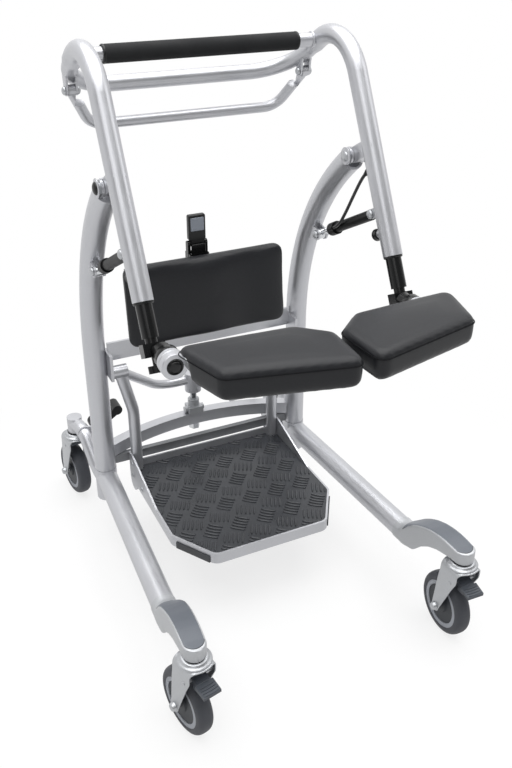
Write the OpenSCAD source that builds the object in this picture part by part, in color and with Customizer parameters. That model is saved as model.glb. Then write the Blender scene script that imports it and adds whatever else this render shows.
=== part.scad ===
// Stand-up transfer aid: wheeled base, footplate, knee rest, tilting handle frame and two flip-up seats.
// Places along the aid are given as distances behind the front castor stems ("back").

/* [Layout] */
// Half the distance between the two side frames
side_x = 233; // [225:1:242]
// Uprights behind the front castor stems
upright_back = 607; // [595:1:620]
// Rear castor stems behind the uprights
rear_stem_behind = 143; // [136:1:158]
// Half the distance between the rear castor stems
rear_stem_x = 260; // [252:1:268]

/* [Castors] */
// Wheel diameter
wheel_d = 125; // [118:1:128]
// Width of the tyre
tyre_w = 31; // [26:1:33]
// Diameter where the tyre meets the rim
rim_d = 98; // [90:1:102]
// Floor to the face that the castor is mounted on
castor_h = 182; // [180:1:186]
// Distance from the stem axis to the wheel axle
castor_trail = 28; // [22:1:32]
// Width over the fork cheeks
fork_w = 50; // [48:1:54]
// Wall of the fork
fork_wall = 3.5; // [3:0.5:4.5]
// Stem diameter
stem_d = 16; // [14:1:18]
// Wheel axle diameter
axle_d = 10; // [8:1:12]
// Width of the brake pedal tread
pedal_w = 34; // [28:1:36]
// Reach of the brake pedal from the stem axis
pedal_reach = 50; // [46:1:54]
// Swivel of the left front castor
swivel_fl = 12; // [-20:1:20]
// Swivel of the right front castor
swivel_fr = -2; // [-20:1:20]
// Swivel of the left rear castor
swivel_rl = 8; // [-20:1:20]
// Swivel of the right rear castor
swivel_rr = -8; // [-20:1:20]

/* [Base legs] */
// Leg tube diameter
leg_d = 45; // [42:1:47]
// Height of the leg axis
leg_z = 140; // [136:1:144]
// Outward splay of each leg, degrees
leg_splay = 3.1; // [2.5:0.1:4]
// Length of the front housing behind the castor stem
housing_l = 178; // [172:1:186]
// Width of the housing nose
nose_d = 46; // [42:1:50]
// Rear arm tube diameter
rear_arm_d = 32; // [28:1:34]
// Height of the rear arm where it carries the castor
rear_arm_z = 203; // [201:1:208]
// Diameter of the vertical pivot sleeve of a leg
sleeve_d = 47; // [44:1:50]

/* [Uprights] */
// Upright tube diameter
upright_d = 45; // [42:1:46]
// Height where the upright starts to bend forward
bend_start_z = 440; // [430:1:450]
// Radius of the forward bend
bend_r = 500; // [490:1:510]
// Angle of the forward bend
bend_angle = 54.7; // [53:0.1:56]
// Pivot bolt diameter
pivot_d = 12; // [10:1:14]

/* [Handle frame] */
// Arm tube diameter
arm_d = 35; // [34:1:37]
// Lean of the arms from the floor, degrees
arm_lean = 62.5; // [61:0.5:64]
// Lower end of the arms in front of their pivot
arm_end_fore = 142.93; // [138:0.01:148]
// Lower end of the arms below their pivot
arm_end_drop = 146.07; // [140:0.01:152]
// Bend radius at the top of the arms
top_bend_r = 100; // [94:1:104]
// Fall of the tube behind the top bend, degrees
fall_angle = 32; // [30:0.5:34]
// Rear cross tube behind the pivot of the arms
cross_behind = 259.07; // [254:0.01:266]
// Rear cross tube above the pivot of the arms
cross_rise = 112.93; // [108:0.01:118]
// Cross tube diameter
cross_d = 29; // [26:1:31]
// Bend radius at the ends of the cross tube
cross_bend_r = 95; // [88:1:98]
// Diameter of the foam grip
grip_d = 32; // [30:1:36]
// Diameter of the tube under the grip
grip_tube_d = 25; // [22:1:27]
// Bare tube left at each end of the grip
grip_bare = 32; // [24:1:38]
// Release bar diameter
release_d = 20; // [18:1:22]

/* [Struts] */
// Strut pivot on the arm, in front of the pivot of the arms
strut_arm_fore = 78.93; // [77:0.01:81]
// Strut pivot on the arm, below the pivot of the arms
strut_arm_drop = 87.07; // [85:0.01:89]
// Strut pivot in front of the upright's axis
strut_base_fore = 44; // [42:1:46]
// Strut pivot above the start of the bend
strut_base_up = 220; // [218:1:222]
// Barrel diameter
barrel_d = 20; // [18:1:22]
// Piston rod diameter
piston_d = 10; // [8:1:11]
// Strut pin diameter
strut_pin_d = 8; // [7:1:9]

/* [Seat] */
// Diameter of the telescopic post
post_d = 28; // [26:1:29]
// Post standing out of the arm
post_out = 58; // [56:1:64]
// Half the distance between the two seat hinge axes
hinge_x = 225; // [222:1:228]
// Seat hinge axes below the lower end of the arms
hinge_drop = 63; // [61:1:66]
// Front face of the hinge block in front of the lower end of the arms
hinge_fore = 113; // [111:1:117]
// Length of the hinge block
hinge_l = 40; // [36:1:44]
// Diameter of the hinge block
hinge_d = 38; // [36:1:39]
// Diameter of the hinge shaft
shaft_d = 24; // [20:1:26]
// Underside of the seats above the hinge axes
seat_up = 11; // [9:1:12]
// Thickness of the seats at the crown
seat_h = 53; // [48:1:56]

/* [Knee rest] */
// Width of the knee rest
knee_w = 352; // [336:1:360]
// Height of the knee rest
knee_h = 176; // [166:1:184]
// Thickness of the knee rest
knee_t = 46; // [42:1:48]
// Height of the lower edge of the knee rest
knee_z = 464; // [462:1:470]
// Lean of the knee rest, degrees
knee_lean = 5.5; // [4.5:0.5:6]
// Lower front edge of the knee rest in front of the uprights
knee_fore = 75; // [73:1:79]

/* [Footplate] */
// Half width of the footplate
plate_x = 180; // [174:1:186]
// Half width of the footplate's front edge
plate_front_x = 123; // [115:1:130]
// Front edge in front of the uprights
plate_front_fore = 358; // [351:1:365]
// Where the front corners start, in front of the uprights
plate_corner_fore = 267; // [259:1:275]
// Rear edge in front of the uprights
plate_rear_fore = 7; // [5:1:9]
// Height of the standing surface
plate_z = 150; // [147:1:152]
// Height of the footplate rim
rim_h = 24; // [20:1:26]

/* [Clearances] */
// Radial clearance of pins and shafts that turn
turn_fit = 0.06; // [0.03:0.01:0.1]
// Gap between pieces that move past each other
free_gap = 0.6; // [0.4:0.1:1]
// Radial slack of the strut eye on its pin at the upright
eye_slack = 1.5; // [1.4:0.1:1.8]

/* [Hidden] */
$fn = 64;
over = 1;
bend_slim = 0.1;
link_share = 0.96;
rear_stem_back = upright_back + rear_stem_behind;

// The frame's origin lies on the floor, midway between the front pedals and the rear wheels
front_reach = pedal_reach * cos(swivel_fl) + pedal_w / 2 * sin(swivel_fl);
rear_reach = rear_stem_back + castor_trail * cos(swivel_rl) + wheel_d / 2;
mid_back = (rear_reach - front_reach) / 2;

function at(x, back, z) = [x, back - mid_back, z];
function yz(back, z) = [back - mid_back, z];
function unit(v) = v / norm(v);
function side3(x, p) = [x, p.x, p.y];

// Legs
stem_x = side_x + upright_back * tan(leg_splay);
leg_reach = upright_back / cos(leg_splay);
sleeve_low_z = 88;
foot_gap = 1.5;
foot_z = leg_z + leg_d / 2 + foot_gap;
spigot_d = 30;
spigot_rise = 2;
spigot_low_z = sleeve_low_z + spigot_rise;
rear_foot_drop = 12;
rear_foot_z = leg_z - rear_foot_drop;
rear_run = 33;
rear_top = 50;
rear_bend_r = 40;
stem_sleeve_d = 34;
stem_up = 32;
housing_top_r = 180;
housing_top_c = [16, 50];
housing_arch_r = 150;
housing_arch_c = [14, 30];
housing_heel_z = 102;
housing_tail_d = 47;
nose_flat = 30;
inlay_from = -13;
inlay_to = 146;
inlay_w = 31;
inlay_nose_w = 26;
inlay_depth = 2.4;
inlay_proud = 0.8;
inlay_gap = 0.3;
leg_pedal_in = 40;
leg_pedal_fore = 48;
leg_pedal_up = 3;
leg_pedal_x = rear_stem_x - leg_pedal_in;
leg_pedal_back = rear_stem_back - leg_pedal_fore;
leg_pedal_z = rear_arm_z + leg_pedal_up;
leg_pedal_l = 38;
leg_pedal_hub_d = 26;
leg_pedal_ear_d = 18;
leg_pedal_bar = 17;
leg_pedal_pin_d = 12;
leg_pedal_ear_t = 5;
leg_pedal_tip = [-50, 32];
leg_pedal_tip_d = 23;

// Castors
axle_z = wheel_d / 2;
bearing_d = 50;
bearing_h = 12;
crown_h = 10;
fork_corner_r = 10;
fork_foot_d = 22;
fork_front = 23;
fork_skirt = 26;
axle_head_d = 17;
axle_head_t = 5;
pedal_pin_d = 8;
pedal_pin_fore = 6;
pedal_pin_drop = 35;
pedal_pin_at = [-pedal_pin_fore, castor_h - pedal_pin_drop];
pedal_boss_d = 15;
pedal_t = 6;
pedal_drop = 5;
pedal_neck_w = 26;
pedal_shoe = [16, 14];
tread_r = 24;
tread_rise = 1.55;
hub_d = 28;
web_t = 16;
rim_lip = 10;

// Uprights, arms and their pivot
pivot_back = upright_back - bend_r * (1 - cos(bend_angle));
pivot_z = bend_start_z + bend_r * sin(bend_angle);
pivot = yz(pivot_back, pivot_z);
pivot_ear_t = 5;
pivot_cap = 4;
pivot_ear_d = 27;
end_gap = 14;
end_wall = 4.5;
end_bore_l = 34;
end_turn = bend_angle - end_gap / bend_r * 180 / PI;
end_dir = [-sin(end_turn), cos(end_turn)];
tube_end = yz(upright_back - bend_r * (1 - cos(end_turn)), bend_start_z + bend_r * sin(end_turn));
lug_w = 20;
lug_d = 27;
lug_root_d = 30;
arm_end_back = pivot_back - arm_end_fore;
arm_end_z = pivot_z - arm_end_drop;
arm_dir = [cos(arm_lean), sin(arm_lean)];
arm_back_dir = [sin(arm_lean), -cos(arm_lean)];
arm_low = yz(arm_end_back, arm_end_z);
lug_foot = arm_low + arm_dir * ((pivot - arm_low) * arm_dir);
cross_at = pivot + [cross_behind, cross_rise];
fall_dir = [cos(fall_angle), -sin(fall_angle)];
corner_run = (cross_at.y - arm_low.y + (cross_at.x - arm_low.x) * tan(fall_angle))
    / (tan(arm_lean) + tan(fall_angle));
arm_corner = arm_low + [corner_run, corner_run * tan(arm_lean)];
swage_l = 20;
swage_end = cross_at - fall_dir * cross_bend_r;
grip_at = arm_corner + fall_dir * top_bend_r * tan((arm_lean + fall_angle) / 2);
post_bore_l = 168;
index_up = 44;
index_boss_d = 18;
index_boss_l = 27;
index_pin_d = 8;
index_knob_d = 22;
index_knob_l = 9;
release_in = 3;
release_x = side_x - release_in;
release_pivot_off = [-57, 4];
release_bar_off = [-15, -67];
release_pivot = cross_at + release_pivot_off;
release_bar_at = cross_at + release_bar_off;
release_corner_x = 190;
release_bend_r = 42;
release_eye_d = 20;
release_tab_d = 18;
release_tab_rise = 24;
release_eye_w = 12;
release_tab_t = 4;
release_pin_d = 8;

// Struts
strut_arm = pivot - [strut_arm_fore, strut_arm_drop];
upright_turn = asin(strut_base_up / bend_r);
strut_root = yz(upright_back - bend_r * (1 - cos(upright_turn)), bend_start_z + strut_base_up);
strut_base = strut_root - [strut_base_fore, 0];
strut_len = norm(strut_base - strut_arm);
strut_tilt = atan2(strut_base.y - strut_arm.y, strut_base.x - strut_arm.x);
strut_eye_w = 12;
strut_eye_d = 18;
strut_cheek_t = 4;
strut_cheek_d = 18;
strut_base_d = 24;
strut_base_root_d = 38;
barrel_from = 14;
rod_out = 52;
barrel_to = strut_len - rod_out;
head_l = 22;
head_d = 26;
socket_d = 9;
socket_l = 6;
piston_bore_l = 70;
cable_d = 6;
// Route of the right release cable, chosen by hand: x, behind and above the pivot of the arms
cable_route = [[225.7, -55.3, -15.8], [223.3, -47.4, -25.1], [221.2, -37.9, -41.1], [219.6, -27.4, -60.6],
    [218.6, -15.9, -81.1], [218, -4.4, -101.1], [218, 5.6, -116.1], [218.3, 15.1, -129.3],
    [219, 26.1, -139.7], [219.7, 37.1, -147.2], [220, 45, -151.3]];

// Seat
yoke_l = 22;
yoke_w = 37;
yoke_t = 24;
neck_l = 8;
neck_d = 20;
post_in = 100;
tongue_d = 20;
tongue_collar_d = 30;
seat_knob_d = 28;
seat_knob_h = 12;
seat_knob_gap = 14;
knob_hub_share = 0.62;
knob_lobe_share = 0.4;
stud_to = post_out + neck_l + yoke_l + seat_knob_gap + seat_knob_h / 2;
knob_from = post_out + neck_l + yoke_l + seat_knob_gap;
hinge_back = arm_end_back - hinge_fore;
hinge_z = arm_end_z - hinge_drop;
seat_z = hinge_z + seat_up;
ear_t = 12;
ear_from = 37;
ear_to = 15;
ear_fore = 60;
seat_board_t = 6;
seat_board_in = 110;
seat_board_out = 30;
seat_board_fore = 136;
seat_board_l = 94;
relief_r = 42;
relief_fore = 72;
// Plan of the right seat, chosen by hand: x, behind the front of the hinge block
seat_plan = [[247, -37], [52, -49], [2, -94], [8, -201], [215, -151]];
seat_corner_r = 19;
seat_tuck = 9;
// Section of the seats: shares of the tuck, of the outline and of the thickness
seat_ring_shares = [[1, 1, 0], [0.35, 1, 0.12], [0.1, 1, 0.4], [0, 1, 0.62], [0, 1, 0.75], [0, 0.965, 0.87],
    [0, 0.9, 0.945], [0, 0.72, 0.985], [0, 0.4, 1]];

// Knee support
hub_x = 192;
hub_fore = 30;
hub_back = upright_back - hub_fore;
hub_z = 407;
hub_pin_d = 28;
bracket_t = 6;
bracket_h = 58;
pillar_d = 25;
pillar_x = 165;
pillar_fore = 16;
pillar_back = upright_back - pillar_fore;
pillar_knee_z = 300;
bow_d = 20;
bow_x = 80;
bow_behind = 56;
bow_back = upright_back + bow_behind;
bow_z = 300;
bow_bend_r = 85;
column_sleeve_d = 37;
column_sleeve_low = 272;
column_sleeve_h = 46;
column_rod_d = 15;
column_nut_d = 26;
column_nut_h = 14;
clevis_w = 32;
clevis_h = 34;
bowed_z = 187;
bowed_h = 28;
bowed_t = 24;
bowed_end_behind = 5;
bowed_end_back = upright_back + bowed_end_behind;
bowed_mid_back = bow_back;
bowed_into = 8;
bowed_half = side_x - upright_d / 2 + bowed_into;
flat_h = 20;
flat_t = 12;
flat_up = 1;
flat_back = upright_back - flat_up;
flat_z = foot_z + flat_up;
rail_half = side_x - upright_d / 2 - bracket_t / 2;
rail_w = 40;
rail_t = 6;
rail_fore = 9;
rail_back = upright_back - rail_fore;
rail_low = 424;
rail_mast_w = 30;
rail_mast_t = 12;
rail_mast_top = 618;
carriage_wall = 6;
carriage_h = 70;
carriage_z = 556;
board_t = 6;
board_edge = 16;
carriage_front = 9;
lever_w = 30;
lever_t = 13;
lever_up = 27;
lever_pivot = yz(rail_back + rail_t + rail_mast_t / 2, rail_mast_top + lever_up);
lever_ear_drop = 34;
lever_l = 60;
lever_top = lever_pivot.y + lever_l;
lever_pin_d = 8;
knee_corner_r = 22;
knee_tuck = 12;
// Section of the knee rest: shares of the tuck, of the outline and of the thickness
knee_ring_shares = [[1, 1, 0], [0.25, 1, 0.3], [0, 1, 0.55], [0.25, 1, 0.8], [0, 0.86, 0.935], [0, 0.5, 1]];
knee_back = upright_back - knee_fore;

// Footplate
tray_wall = 4;
tray_floor = 4;
mat_t = 3;
mat_gap = 0.3;
plate_corner_r = 22;
wing_t = 4;
wing_rise = 42;
rear_rise = 16;
plate_front_back = upright_back - plate_front_fore;
plate_corner_back = upright_back - plate_corner_fore;
plate_rear_back = upright_back - plate_rear_fore;
wing_fore = 175;
wing_from = upright_back - wing_fore;
lug_low_z = 106;
bumper_t = 2.5;
bumper_h = 15;
bumper_end_share = 0.6;

// Helpers: pieces on either side, round bars, bent tubes and profiles across the aid
module on_side(s) mirror([s < 0 ? 1 : 0, 0, 0]) children();

module rod(a, b, d, d_end = 0) {
    v = b - a;
    translate(a) rotate([0, acos(v.z / norm(v)), atan2(v.y, v.x)])
        cylinder(d1 = d, d2 = d_end > 0 ? d_end : d, h = norm(v));
}

function bend_cut(p, i, r) = i == 0 || i == len(p) - 1 ? 0
    : r * tan(acos(unit(p[i] - p[i - 1]) * unit(p[i + 1] - p[i])) / 2);

module elbow(a, b, c, d, r) {
    u = unit(b - a);
    w = unit(c - b);
    turn = acos(u * w);
    n = unit(w - (w * u) * u);
    k = unit(cross(u, w));
    o = b - u * r * tan(turn / 2) + r * n;
    multmatrix([[-n.x, u.x, k.x, o.x], [-n.y, u.y, k.y, o.y], [-n.z, u.z, k.z, o.z], [0, 0, 0, 1]])
        rotate_extrude(angle = turn) translate([r, 0]) circle(d = d);
}

// Bent tube: the straight runs reach a little way into the bends, which are drawn a trace slimmer
module tube_path(p, d, r) {
    last = len(p) - 1;
    for (i = [0 : last - 1]) {
        u = unit(p[i + 1] - p[i]);
        from = p[i] + u * (bend_cut(p, i, r) - (i > 0 ? over : 0));
        to = p[i + 1] - u * (bend_cut(p, i + 1, r) - (i + 1 < last ? over : 0));
        if ((to - from) * u > 2 * over) rod(from, to, d);
    }
    for (i = [1 : 1 : last - 1]) elbow(p[i - 1], p[i], p[i + 1], d - bend_slim, r);
}

module across(x, w) translate([x - w / 2, 0, 0]) rotate([90, 0, 90]) linear_extrude(w) children();

module pin_x(x, w, p, d) translate([x - w / 2, p.x, p.y]) rotate([0, 90, 0]) cylinder(d = d, h = w);

module link(a, b, da, db) {
    u = unit(b - a);
    n = [-u.y, u.x] * link_share / 2;
    translate(a) circle(d = da);
    translate(b) circle(d = db);
    polygon([a + n * da, b + n * db, b - n * db, a - n * da]);
}

module block(low, high) translate(low) cube(high - low);

// Outline with rounded corners: each corner of p becomes an arc of n steps
function corner_arc(a, b, c, r, n) = let(
        u = unit(a - b), w = unit(c - b), half = acos(u * w) / 2,
        m = b + unit(u + w) * r / sin(half),
        from = b + u * r / tan(half) - m, to = b + w * r / tan(half) - m,
        turn = 180 - 2 * half, s = cross(from, to) > 0 ? 1 : -1)
    [for (i = [0 : n]) let(t = s * turn * i / n)
        m + [from.x * cos(t) - from.y * sin(t), from.x * sin(t) + from.y * cos(t)]];
function rounded(p, r, n) = [for (i = [0 : len(p) - 1])
    each corner_arc(p[(i + len(p) - 1) % len(p)], p[i], p[(i + 1) % len(p)], r, n)];
function middle(p) = [for (k = [0, 1]) let(v = [for (q = p) q[k]]) (max(v) + min(v)) / 2];
function inset(p, d) = [for (i = [0 : len(p) - 1])
    let(a = p[(i + len(p) - 1) % len(p)], c = p[(i + 1) % len(p)], u = unit(c - a))
    p[i] + d * [-u.y, u.x]];

// Padded form: rings are [tuck, share of the outline, height], from the underside to the crown
module cushion(p, rings) {
    c = middle(p);
    n = len(p);
    m = len(rings);
    points = [for (r = rings) each [for (q = inset(p, r[0])) concat(c + r[1] * (q - c), r[2])],
        concat(c, rings[0][2]), concat(c, rings[m - 1][2])];
    faces = [for (j = [0 : m - 2]) for (i = [0 : n - 1]) let(k = (i + 1) % n)
            each [[j * n + i, (j + 1) * n + k, j * n + k], [j * n + i, (j + 1) * n + i, (j + 1) * n + k]],
        for (i = [0 : n - 1]) [m * n, i, (i + 1) % n],
        for (i = [0 : n - 1]) [m * n + 1, (m - 1) * n + (i + 1) % n, (m - 1) * n + i]];
    polyhedron(points, faces);
}

// Base legs
module along_leg() translate(at(stem_x, 0, 0)) rotate([0, 0, leg_splay]) children();

module leg_right() {
    lean = (rear_stem_x - side_x) / (rear_stem_back - upright_back);
    arm = [at(side_x, upright_back, rear_foot_z),
        at(side_x + rear_run * lean, upright_back + rear_run, rear_foot_z),
        at(rear_stem_x - rear_top * lean, rear_stem_back - rear_top, rear_arm_z),
        at(rear_stem_x, rear_stem_back, rear_arm_z)];
    pedal_pin = at(leg_pedal_x, leg_pedal_back, leg_pedal_z);
    difference() {
        union() {
            along_leg() translate([0, housing_l, leg_z]) rotate([-90, 0, 0])
                cylinder(d = leg_d, h = leg_reach - housing_l);
            translate(at(side_x, upright_back, sleeve_low_z))
                cylinder(d = sleeve_d, h = foot_z - free_gap - sleeve_low_z);
            tube_path(arm, rear_arm_d, rear_bend_r);
            translate(at(rear_stem_x, rear_stem_back, castor_h))
                cylinder(d = stem_sleeve_d, h = rear_arm_z + rear_arm_d / 2 - castor_h);
            translate(at(0, leg_pedal_back, 0)) rotate([90, 0, 0]) linear_extrude(leg_pedal_ear_t)
                link([leg_pedal_x, leg_pedal_z], [rear_stem_x - leg_pedal_ear_d / 2, rear_arm_z],
                    leg_pedal_ear_d, rear_arm_d - 2 * over);
            translate(pedal_pin) rotate([-90, 0, 0]) cylinder(d = leg_pedal_pin_d, h = leg_pedal_l + free_gap);
        }
        translate(at(side_x, upright_back, sleeve_low_z - over))
            cylinder(d = spigot_d + 2 * turn_fit, h = foot_z - sleeve_low_z + over);
        translate(at(rear_stem_x, rear_stem_back, castor_h - over))
            cylinder(d = stem_d + 2 * turn_fit, h = stem_up + 2 * over);
    }
}
module leg(s) color("silver") on_side(s) leg_right();

module housing_plan(w_tail, w_nose, tail, nose) {
    translate([0, nose]) circle(d = w_nose);
    polygon([[-w_nose / 2, nose], [w_nose / 2, nose], [w_tail / 2, tail], [-w_tail / 2, tail]]);
}
module arc_band(r_low, r_high) difference() {
    translate(housing_top_c) circle(r = r_high, $fn = 128);
    translate(housing_top_c) circle(r = r_low, $fn = 128);
}
module inlay_form(gap, r_low, r_high) intersection() {
    linear_extrude(castor_h * 2) housing_plan(inlay_w + 2 * gap, inlay_nose_w + 2 * gap, inlay_to + gap,
        inlay_from + inlay_nose_w / 2);
    across(0, housing_tail_d) intersection() {
        arc_band(r_low, r_high);
        translate([inlay_from - inlay_nose_w, leg_z]) square([inlay_to * 2, castor_h]);
    }
}
module front_housing(s) color("silver") on_side(s) along_leg() difference() {
    union() {
        intersection() {
            linear_extrude(castor_h * 2) housing_plan(housing_tail_d, nose_d, housing_l, 0);
            across(0, housing_tail_d + over) difference() {
                intersection() {
                    translate(housing_top_c) circle(r = housing_top_r, $fn = 128);
                    translate([-nose_d, housing_heel_z]) square([housing_l + nose_d, castor_h]);
                }
                translate(housing_arch_c) circle(r = housing_arch_r, $fn = 128);
                translate([-nose_d, 0]) square([nose_d + nose_flat, castor_h]);
            }
        }
        translate([0, inlay_to, leg_z]) rotate([-90, 0, 0])
            cylinder(d = housing_tail_d, h = housing_l - inlay_to);
    }
    inlay_form(inlay_gap, housing_top_r - inlay_depth, housing_top_r + inlay_depth);
    translate([0, 0, castor_h - over]) cylinder(d = stem_d + 2 * turn_fit, h = stem_up + 2 * over);
}
module housing_inlay(s) color("dimgray") on_side(s) along_leg()
    inlay_form(0, housing_top_r - inlay_depth, housing_top_r + inlay_proud);

module leg_pedal(s) color("#202224") on_side(s) difference() {
    hub = at(leg_pedal_x, leg_pedal_back + free_gap, leg_pedal_z);
    tip = hub + [leg_pedal_tip.x, 0, leg_pedal_tip.y];
    long = [0, leg_pedal_l - free_gap, 0];
    union() {
        rod(hub, hub + long, leg_pedal_hub_d);
        rod(tip, tip + long, leg_pedal_tip_d);
        translate(hub + long) rotate([90, -atan2(leg_pedal_tip.y, leg_pedal_tip.x), 0])
            translate([0, -leg_pedal_bar / 2, 0]) cube([norm(leg_pedal_tip), leg_pedal_bar, norm(long)]);
    }
    translate(hub - [0, over, 0]) rotate([-90, 0, 0])
        cylinder(d = leg_pedal_pin_d + 2 * turn_fit, h = leg_pedal_l + 3 * over);
}

// Castors: each is drawn about its stem axis with the wheel trailing along +Y
module castor(x, back, turn) translate(at(x, back, 0)) rotate([0, 0, turn]) children();

module fork(pedal_side) {
    crown_top = castor_h - bearing_h;
    axle = [castor_trail, axle_z];
    pin = [pedal_side * pedal_pin_at.x, pedal_pin_at.y];
    color("#b9bcc0") {
        intersection() {
            translate([0, wheel_d, 0]) rotate([90, 0, 0]) linear_extrude(2 * wheel_d) difference() {
                union() {
                    for (k = [-1, 1]) translate([k * (fork_w / 2 - fork_corner_r), crown_top - fork_corner_r])
                        circle(r = fork_corner_r);
                    translate([-fork_w / 2 + fork_corner_r, 0])
                        square([fork_w - 2 * fork_corner_r, crown_top]);
                    translate([-fork_w / 2, 0]) square([fork_w, crown_top - fork_corner_r]);
                }
                translate([-fork_w / 2 + fork_wall, -over])
                    square([fork_w - 2 * fork_wall, crown_top - crown_h + over]);
            }
            across(0, fork_w + 2 * over) {
                translate(axle) circle(d = fork_foot_d);
                polygon([[-fork_front, crown_top], [fork_front, crown_top],
                    [fork_front + castor_trail / 4, crown_top - fork_skirt], axle + [fork_foot_d / 2, 0],
                    axle - [fork_foot_d / 2, 0], [-fork_front + fork_wall, crown_top - fork_skirt],
                    [-fork_front, crown_top - fork_skirt]]);
            }
        }
        translate([0, 0, crown_top - over]) cylinder(d = bearing_d, h = bearing_h / 2 + over);
        translate([0, 0, crown_top]) cylinder(d = bearing_d - bearing_h, h = bearing_h - free_gap);
        translate([0, 0, crown_top]) cylinder(d = stem_d, h = bearing_h + stem_up);
        pin_x(0, fork_w + 2 * axle_head_t, axle, axle_d);
        for (k = [-1, 1]) pin_x(k * (fork_w + axle_head_t) / 2, axle_head_t, axle, axle_head_d);
        pin_x(0, fork_w, pin, pedal_pin_d);
    }
}

module wheel_turned() translate([0, castor_trail, axle_z]) rotate([0, 90, 0])
    rotate_extrude($fn = 96) children();
module tyre() color("#45474b") wheel_turned() intersection() {
    translate([rim_d / 2, -tyre_w / 2]) square([(wheel_d - rim_d) / 2, tyre_w]);
    translate([wheel_d / 2 - tread_r + tread_rise, 0]) circle(r = tread_r);
}
module rim() color("#8f939a") wheel_turned() difference() {
    translate([axle_d / 2 + turn_fit, -tyre_w / 2 + over])
        square([rim_d / 2 - axle_d / 2 - turn_fit, tyre_w - 2 * over]);
    for (k = [0, 1]) mirror([0, k]) translate([hub_d / 2, web_t / 2])
        square([rim_d / 2 - rim_lip - hub_d / 2, tyre_w]);
}

module brake_pedal(pedal_side) {
    pin = pedal_pin_at;
    tip = [-pedal_reach, pin.y - pedal_drop];
    color("#4f5359") mirror([0, pedal_side < 0 ? 1 : 0, 0]) difference() {
        union() {
            across(0, pedal_neck_w) {
                link(pin, [-fork_front, pin.y], pedal_boss_d, pedal_t);
                translate([-fork_front - pedal_t, pin.y - pedal_shoe.y])
                    square([pedal_shoe.x, pedal_shoe.y]);
            }
            across(0, pedal_w) polygon([[-fork_front - pedal_t / 2, pin.y + pedal_t / 2],
                [tip.x, tip.y + pedal_t / 2], [tip.x, tip.y - pedal_t / 2],
                [-fork_front - pedal_t / 2, pin.y - pedal_t / 2]]);
        }
        pin_x(0, pedal_w + 2 * over, pin, pedal_pin_d + 2 * turn_fit);
    }
}

// Uprights and cross bars
module upright(s) color("silver") on_side(s) difference() {
    union() {
        translate(at(side_x, upright_back, foot_z)) cylinder(d = upright_d, h = bend_start_z - foot_z);
        difference() {
            translate(at(side_x, upright_back - bend_r, bend_start_z)) rotate([90, 0, 90])
                rotate_extrude(angle = end_turn) translate([bend_r, 0]) circle(d = upright_d);
            rod(side3(side_x, tube_end - end_dir * end_bore_l), side3(side_x, tube_end + end_dir * over),
                upright_d - 2 * end_wall);
        }
        for (k = [-1, 1]) across(side_x + k * (lug_w / 2 + free_gap + pivot_ear_t / 2), pivot_ear_t)
            link(tube_end - end_dir * (end_bore_l + pivot_ear_t), pivot, pivot_ear_d, pivot_ear_d);
        translate(at(side_x, upright_back, spigot_low_z)) cylinder(d = spigot_d, h = foot_z - spigot_low_z);
        for (k = [-1, 1])
            across(side_x + k * (strut_eye_w + strut_cheek_t + 2 * free_gap) / 2, strut_cheek_t)
                link(strut_base, strut_root, strut_base_d, strut_base_root_d);
        block(at(side_x - upright_d / 2 - bracket_t / 2, hub_back - hub_pin_d / 2, hub_z - hub_pin_d / 2),
            at(side_x - upright_d / 2 + bracket_t / 2, upright_back, hub_z - hub_pin_d / 2 + bracket_h));
    }
    pin_x(side_x, upright_d + 2 * over, pivot, pivot_d);
    pin_x(side_x, upright_d, strut_base, strut_pin_d);
}

bow_depth = bowed_mid_back - bowed_end_back;
bow_radius = (bowed_half * bowed_half + bow_depth * bow_depth) / (2 * bow_depth);
module bowed_bar() color("#b4b7ba") difference() {
    intersection() {
        translate(at(0, bowed_mid_back - bow_radius, bowed_z)) linear_extrude(bowed_h) difference() {
            circle(r = bow_radius + bowed_t / 2, $fn = 180);
            circle(r = bow_radius - bowed_t / 2, $fn = 180);
        }
        block(at(-bowed_half, bowed_end_back - bowed_t, bowed_z),
            at(bowed_half, bowed_mid_back + bowed_t, bowed_z + bowed_h));
    }
    for (k = [-1, 1]) translate(at(k * side_x, upright_back, bowed_z - over))
        cylinder(d = upright_d, h = bowed_h + 2 * over);
    translate(at(0, bow_back, bowed_z - over)) cylinder(d = column_rod_d, h = bowed_h + 2 * over);
}
module flat_bar() color("#9a9da1") difference() {
    block(at(-side_x, flat_back, flat_z), at(side_x, flat_back + flat_t, flat_z + flat_h));
    for (k = [-1, 1]) translate(at(k * side_x, upright_back, flat_z - over))
        cylinder(d = upright_d, h = flat_h + 2 * over);
}

// Knee frame, column and footplate
module knee_frame() color("#c3c6c9") {
    bow = [for (k = [[-1, 0], [-1, 1], [1, 1], [1, 0]]) k[1] == 1 ? at(k[0] * bow_x, bow_back, bow_z)
        : at(k[0] * hub_x, hub_back, hub_z)];
    difference() {
        union() {
            for (s = [-1, 1]) on_side(s) {
                pin_x(hub_x, 2 * (side_x - upright_d / 2 - bracket_t / 2 - hub_x), yz(hub_back, hub_z),
                    hub_pin_d);
                tube_path([at(pillar_x, pillar_back, plate_z - mat_t),
                    at(pillar_x, pillar_back, pillar_knee_z),
                    at(hub_x, hub_back, hub_z)], pillar_d, bow_bend_r);
            }
            tube_path(bow, bow_d, bow_bend_r);
            translate(at(0, bow_back, column_sleeve_low)) cylinder(d = column_sleeve_d, h = column_sleeve_h);
        }
        translate(at(0, bow_back, column_sleeve_low - over))
            cylinder(d = column_rod_d, h = column_sleeve_h / 2 + over);
    }
}
module column_rod() color("#d8dadc") {
    translate(at(0, bow_back, bowed_z - column_nut_h)) cylinder(d = column_rod_d,
        h = column_sleeve_low + column_sleeve_h / 2 - bowed_z + column_nut_h);
    translate(at(0, bow_back, bowed_z - column_nut_h)) cylinder(d = column_nut_d, h = column_nut_h, $fn = 6);
}
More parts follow.
